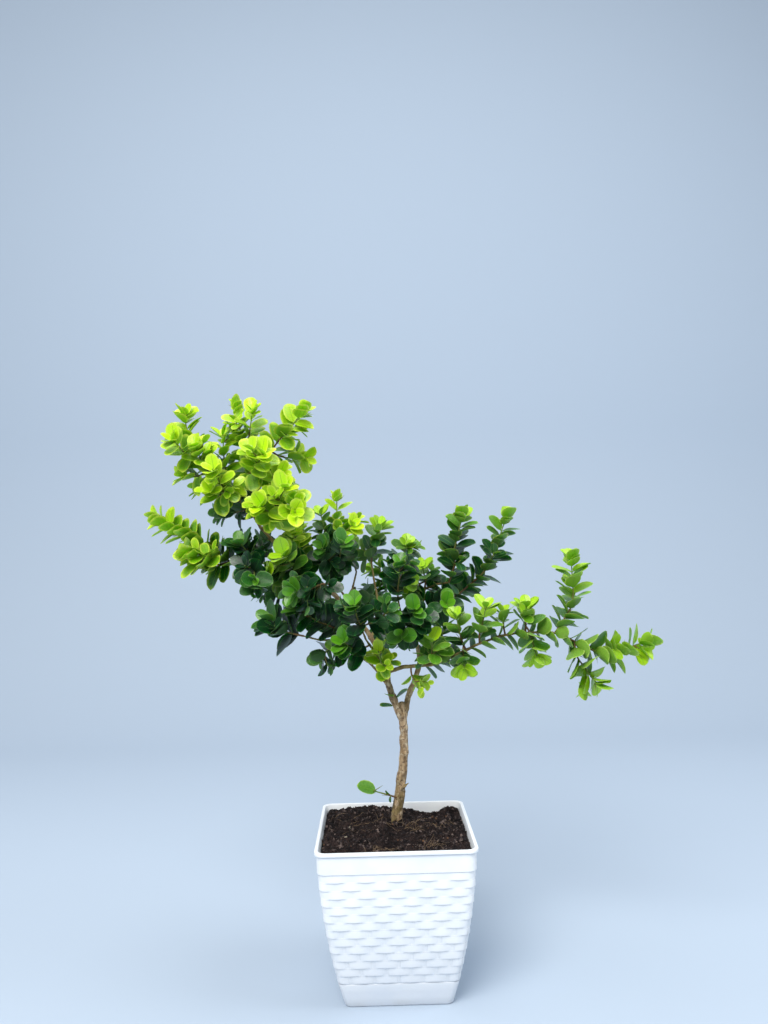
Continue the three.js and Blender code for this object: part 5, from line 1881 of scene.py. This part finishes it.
# %% Leaves that grow straight from thin limbs
LIMB_LOWEST = 352 * MM
LIMB_THICKEST = 5.6 * MM
LIMB_INNER = (-150 * MM, 42 * MM)
LIMB_SPACING = 7.5 * MM
LIMB_LEAF = 21 * MM
LIMB_TRIES = 2600
LIMB_STAND = 0.42
LIMB_TINT = 0.3
TRUNK_TOP = Vector((10, 0, 340)) * MM
LIMB_WAY = Vector((-0.3, -0.1, 0.95)).normalized()
LONE_HOME = "shoot_centre_05"
LONE_REACH = 3.2 * MM
AGED_TINT = -1.5
LONE_LEAVES = (
    (Vector((1.5, -3.6, 311)) * MM, Vector((0.8, -0.55, 0)), 19 * MM),
    (Vector((1.5, -3.6, 312)) * MM, Vector((-0.3, -0.95, 0)), 15 * MM),
    (Vector((3.5, -3, 303)) * MM, Vector((-0.9, -0.4, -0.4)), 15 * MM),
)
faces = [f for f in wood_skeleton.polygons if f.center.z > LIMB_LOWEST]
weights = [f.area for f in faces]
homes = [(name, twig.at(0.15)[0]) for name in shoot_names for twig in twigs[name][:1]]
limb_places = []
limb_count = 0
for _ in range(LIMB_TRIES):
    face = rng.choices(faces, weights)[0]
    corners = [wood_skeleton.vertices[k].co for k in face.vertices]
    a, b = rng.random(), rng.random()
    if a + b > 1:
        a, b = 1 - a, 1 - b
    place = corners[0] + (corners[1] - corners[0]) * a + (corners[2] - corners[0]) * b
    through = WOOD_SURFACE.ray_cast(place - face.normal * RAY_LEAD * MM, -face.normal, RAY_REACH)
    if through[0] is None or through[3] > LIMB_THICKEST or LIMB_INNER[0] < place.x < LIMB_INNER[1]:
        continue
    if any((place - other).length < LIMB_SPACING for other in limb_places):
        continue
    along = max((q - p for p in corners for q in corners), key=lambda edge: edge.length).normalized()
    if along.dot(place - TRUNK_TOP) < 0:
        along = -along
    name = min(homes, key=lambda home: (home[1] - place).length)[0]
    habit = habit_of(name)
    middle = place - face.normal * through[3] / 2
    for out in (face.normal, -face.normal):
        leaf = try_leaf(middle, along, out, through[3] * LIMB_STAND, LIMB_LEAF * rng.uniform(0.85, 1.1),
                        RISE, LIMB_TINT, habit["roll"])
        if leaf:
            limb_places.append(place)
            added[name].append(leaf)
            limb_count += 1
for centre, out, length in LONE_LEAVES:
    leaf = try_leaf(centre, LIMB_WAY, out.normalized(), LONE_REACH, length, RISE, AGED_TINT, 0.5)
    if leaf:
        added[LONE_HOME].append(leaf)
        limb_count += 1
print(f"{limb_count} leaves on thin limbs, {sum(len(x) for x in added.values())} new leaves in all")

# %% [markdown]
# ## Leaf materials
# There are three finishes on the real tree: deep green old leaves, mid green ones, and lime young leaves
# at the ends of the shoots. All three are leathery and glossy above, dull and olive below, with a paler
# midrib and a thin pale rim. One group draws that pattern from the map along the leaf, and each finish
# gives it its own colours.

# %% The pattern of a leaf
def leaf_pattern():
    """Masks for the midrib, the side veins and the rim, from a map across and along the leaf."""
    group, given = shader_group("Leaf pattern", [
        ("Map", "Vector", (0, 0, 0)), ("Vein pairs", "Float", 7.0), ("Rim", "Float", 0.04)],
        [("Midrib", "Float"), ("Veins", "Float"), ("Rim", "Float"), ("Height", "Float")])
    axes = wire(group, "ShaderNodeSeparateXYZ", {0: given["Map"]}).outputs
    off = calc(group, "ABSOLUTE", calc(group, "SUBTRACT", axes["X"], 0.5))
    midrib = ramp(group, off, 0.035, 0.008)
    slant = calc(group, "SUBTRACT", axes["Y"], mult(group, off, 0.55))
    phase = calc(group, "FRACT", mult(group, slant, given["Vein pairs"]))
    near = calc(group, "ABSOLUTE", calc(group, "SUBTRACT", phase, 0.5))
    veins = mult(group, ramp(group, near, 0.12, 0.02), ramp(group, off, 0.5, 0.3))
    side_rim = calc(group, "SUBTRACT", 0.5, off)
    tip_rim = calc(group, "SUBTRACT", 1.0, axes["Y"])
    rim = ramp(group, calc(group, "MINIMUM", side_rim, tip_rim), given["Rim"], 0.0)
    height = calc(group, "MAXIMUM", midrib, mult(group, veins, 0.5))
    wire(group, "NodeGroupOutput", {"Midrib": midrib, "Veins": veins, "Rim": rim, "Height": height})
    return group


LEAF_PATTERN = leaf_pattern()
# %% The finish of a leaf
LEAF_FINISHES = {
    "leaf_dark": {
        "deep": (3, 38, 13), "face": (16, 82, 24), "fresh": (92, 156, 24), "old": (4, 46, 20),
        "vein": (44, 100, 40), "rim": (132, 176, 104), "under": (72, 116, 54),
        "wax": 0.28, "gloss": 0.32, "rim width": 0.05},
    "leaf_green": {
        "deep": (24, 80, 8), "face": (74, 136, 12), "fresh": (164, 212, 26), "old": (12, 66, 24),
        "vein": (96, 150, 48), "rim": (170, 204, 90), "under": (116, 156, 46),
        "wax": 0.22, "gloss": 0.33, "rim width": 0.08},
    "leaf_lime": {
        "deep": (46, 112, 2), "face": (110, 172, 3), "fresh": (184, 226, 22), "old": (16, 74, 16),
        "vein": (104, 162, 10), "rim": (212, 236, 74), "under": (136, 182, 30),
        "wax": 0.15, "gloss": 0.34, "rim width": 0.22},
}
YOUNG_FROM = {"leaf_dark": 0.7, "leaf_green": 0.5, "leaf_lime": 0.1}
LAST_YOUNG = 0.9


def leaf_material(slot):
    """Leathery and waxed, from old to fresh by the leaf's tint, with veins, a rim and a dull underside."""
    finish = LEAF_FINISHES[slot]
    shades = {part: sun(*value) for part, value in finish.items() if isinstance(value, tuple)}
    material, tree, shader, place = start_material(slot)
    shader.inputs["Subsurface Weight"].default_value = 0.2
    shader.inputs["Subsurface Radius"].default_value = (0.5, 1.0, 0.12)
    shader.inputs["Subsurface Scale"].default_value = 0.0022
    shader.inputs["Coat Weight"].default_value = finish["wax"]
    shader.inputs["Coat Roughness"].default_value = 0.3
    shader.inputs["Specular IOR Level"].default_value = 0.4
    pattern = wire(tree, "ShaderNodeGroup", node_tree=LEAF_PATTERN)
    pattern.inputs["Rim"].default_value = finish["rim width"]
    tree.links.new(wire(tree, "ShaderNodeUVMap", uv_map="leaf").outputs[0], pattern.inputs["Map"])
    marks = patches(tree, place, 0.011, 0.0018)
    chance, tint, under = (written(tree, name) for name in ("chance", "tint", "under"))
    colour = mix_colour(tree, chance, shades["deep"], shades["face"])
    colour = mix_colour(tree, mult(tree, marks["Clouds"], 0.45), colour, shades["face"])
    colour = mix_colour(tree, mult(tree, marks["Grain"], 0.16), colour, shades["rim"])
    age = ramp(tree, tint, 0.0, -0.7)
    colour = mix_colour(tree, age, colour, shades["old"])
    colour = mix_colour(tree, ramp(tree, tint, 0.0, 1.0), colour, shades["fresh"])
    veins = calc(tree, "MAXIMUM", mult(tree, pattern.outputs["Midrib"], 0.65),
                 mult(tree, pattern.outputs["Veins"], 0.12))
    colour = mix_colour(tree, veins, colour, shades["vein"])
    pale_under = mult(tree, under, calc(tree, "MULTIPLY_ADD", age, -0.4, 0.75))
    colour = mix_colour(tree, pale_under, colour, shades["under"])
    pale_rim = mult(tree, pattern.outputs["Rim"], calc(tree, "MULTIPLY_ADD", age, -0.55, 0.8))
    colour = mix_colour(tree, pale_rim, colour, shades["rim"])
    roughness = calc(tree, "MULTIPLY_ADD", under, 0.3, finish["gloss"])
    roughness = calc(tree, "MULTIPLY_ADD", marks["Grain"], 0.08, roughness)
    feed(tree, shader, colour, roughness, bump(tree, pattern.outputs["Height"], 0.0003, 0.6))
    return material


leaf_materials = {slot: leaf_material(slot) for slot in LEAF_FINISHES}
print("leaf materials:", ", ".join(leaf_materials))


# %% Green stems and spines
def stem_material():
    """Brown where a stem leaves the wood, green towards its tip and on the spines."""
    material, tree, shader, place = start_material("green_stem")
    marks = patches(tree, place, 0.006, 0.0011)
    tint = written(tree, "tint")
    colour = mix_colour(tree, marks["Clouds"], sun(96, 70, 42), sun(128, 96, 54))
    green = mix_colour(tree, marks["Clouds"], sun(92, 120, 48), sun(140, 160, 70))
    colour = mix_colour(tree, ramp(tree, tint, 0.25, 0.85), colour, green)
    colour = mix_colour(tree, mult(tree, marks["Specks"], 0.4), colour, sun(170, 150, 100))
    roughness = calc(tree, "MULTIPLY_ADD", marks["Grain"], 0.2, 0.45)
    feed(tree, shader, colour, roughness, bump(tree, marks["Grain"], 0.0002))
    return material


STEM_MATERIAL = stem_material()
print(f"{STEM_MATERIAL.name}: {len(STEM_MATERIAL.node_tree.nodes)} nodes")


# %% [markdown]
# ## Growing the shoots
# Each shoot becomes one piece. Its base mesh holds only lines for the stems and loose points for leaves
# and spines, each with its size, turn and age. One geometry tree turns lines into tapering tubes and
# copies a leaf or a spine to every point, so a change to a leaf changes them all.

# %% The geometry tree of a leafy shoot
def shoot_tree():
    tree, given = geometry_tree("Leafy shoot", [
        ("Leaf kinds", "Collection"), ("Spine kinds", "Collection"), ("Stem sides", "Int"),
        ("Leaf finish", "Material"), ("Stem finish", "Material")])
    part = attribute(tree, "part")
    is_stem = calc(tree, "LESS_THAN", part, 0.5)
    is_leaf = calc(tree, "COMPARE", part, 1.0, 0.1)
    is_spine = calc(tree, "COMPARE", part, 2.0, 0.1)
    turn = attribute(tree, "turn", "QUATERNION")
    size = attribute(tree, "size")
    lines = wire(tree, "GeometryNodeMeshToCurve", {"Mesh": given["Geometry"], "Selection": is_stem})
    parts = [finished(tree, tubes_along(tree, lines, given["Stem sides"]), given["Stem finish"])]
    leaf_kind = attribute(tree, "kind", "INT")
    for chosen, store, kind, finish in ((is_leaf, "Leaf kinds", leaf_kind, "Leaf finish"),
                                        (is_spine, "Spine kinds", 0, "Stem finish")):
        places = wire(tree, "GeometryNodeMeshToPoints", {"Mesh": given["Geometry"], "Selection": chosen})
        copies = copies_at(tree, places.outputs[0], given[store], kind, turn, size)
        parts.append(finished(tree, copies, given[finish]))
    joined = wire(tree, "GeometryNodeJoinGeometry")
    for geometry in parts:
        tree.links.new(geometry, joined.inputs[0])
    real = wire(tree, "GeometryNodeRealizeInstances", {"Geometry": joined.outputs[0]})
    wire(tree, "NodeGroupOutput", {"Geometry": real.outputs[0]})
    return tree


# %% The lines and points that a shoot grows from
def turned_like(leaf):
    """The turn that lays the leaf's shape along its axis, face up."""
    return Matrix((leaf.axis.cross(leaf.up), leaf.axis, leaf.up)).transposed().to_quaternion()


STEM_PART, LEAF_PART, SPINE_PART = 0, 1, 2
LEAF_MIX = (0, 0, 1, 2, 3)
SPINE_TINT = 0.6


def shoot_piece(name, twig_list, leaf_list, spine_list):
    """The base of one fine shoot: stem lines, and a point for every leaf and spine."""
    points, edges, rows = [], [], []
    straight = (1.0, 0.0, 0.0, 0.0)
    for twig in twig_list:
        first = len(points)
        for place, share in zip(twig.way, twig.shares):
            points.append(place)
            rows.append((STEM_PART, straight, 1.0, 0, share, twig.girth(share), 0.5))
        edges += [(i, i + 1) for i in range(first, len(points) - 1)]
    for leaf in leaf_list:
        points.append(leaf.root)
        kind = rng.choice(LEAF_MIX)
        rows.append((LEAF_PART, tuple(turned_like(leaf)), leaf.length, kind, leaf.tint, 0.0, rng.random()))
    for root, tip in spine_list:
        spine = Leaf(root, tip - root, Vector((0, 0, 1)), (tip - root).length)
        points.append(root)
        rows.append((SPINE_PART, tuple(turned_like(spine)), spine.length, 0, SPINE_TINT, 0.0, rng.random()))
    piece = new_piece(name, points, edges)
    fields = (("part", "FLOAT"), ("turn", "QUATERNION"), ("size", "FLOAT"), ("kind", "INT"),
              ("tint", "FLOAT"), ("girth", "FLOAT"), ("chance", "FLOAT"))
    for column, (label, kind) in enumerate(fields):
        values = [row[column] for row in rows]
        layer = piece.data.attributes.new(label, kind, "POINT")
        layer.data.foreach_set("value", np.array(values, np.int32 if kind == "INT" else np.float32).ravel())
    return piece


# %% Grow every shoot
SHOOT_TREE = shoot_tree()
YOUNG_CURVE = 1.4
OLDEST = -1.0
rng = random.Random(23)
shoot_total = 0
for name in shoot_names:
    stems, leaves, spines = shoots[name]
    all_leaves = leaves + added[name]
    young_from = min(YOUNG_FROM[slot_of[name]] + habit_of(name)["aged"], LAST_YOUNG)
    for leaf in all_leaves:
        youth = (leaf.tint - young_from) / (1 - young_from) + habit_of(name)["young"]
        leaf.tint = min(youth, 1.0) ** YOUNG_CURVE if youth > 0 else max(youth, OLDEST)
    piece = shoot_piece(name.replace("shoot_", "leafy_"), twigs[name], all_leaves, spines)
    grow(piece, SHOOT_TREE, {
        "Leaf kinds": leaf_store, "Spine kinds": spine_store, "Stem sides": 7,
        "Leaf finish": leaf_materials[slot_of[name]], "Stem finish": STEM_MATERIAL})
    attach(piece, "root")
    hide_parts(name)
    shoot_total += triangles(piece)
print(f"{len(shoot_names)} shoots: {shoot_total} triangles")

# %% [markdown]
# ## The size, imported and fine
# The sizes of the imported object and of the fine one are printed side by side.

# %% Sizes
fine_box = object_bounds()
for label, (low, high) in (("packed", cad_box), ("fine", fine_box)):
    print(label, [round((b - a) / MM, 1) for a, b in zip(low, high)], "mm")
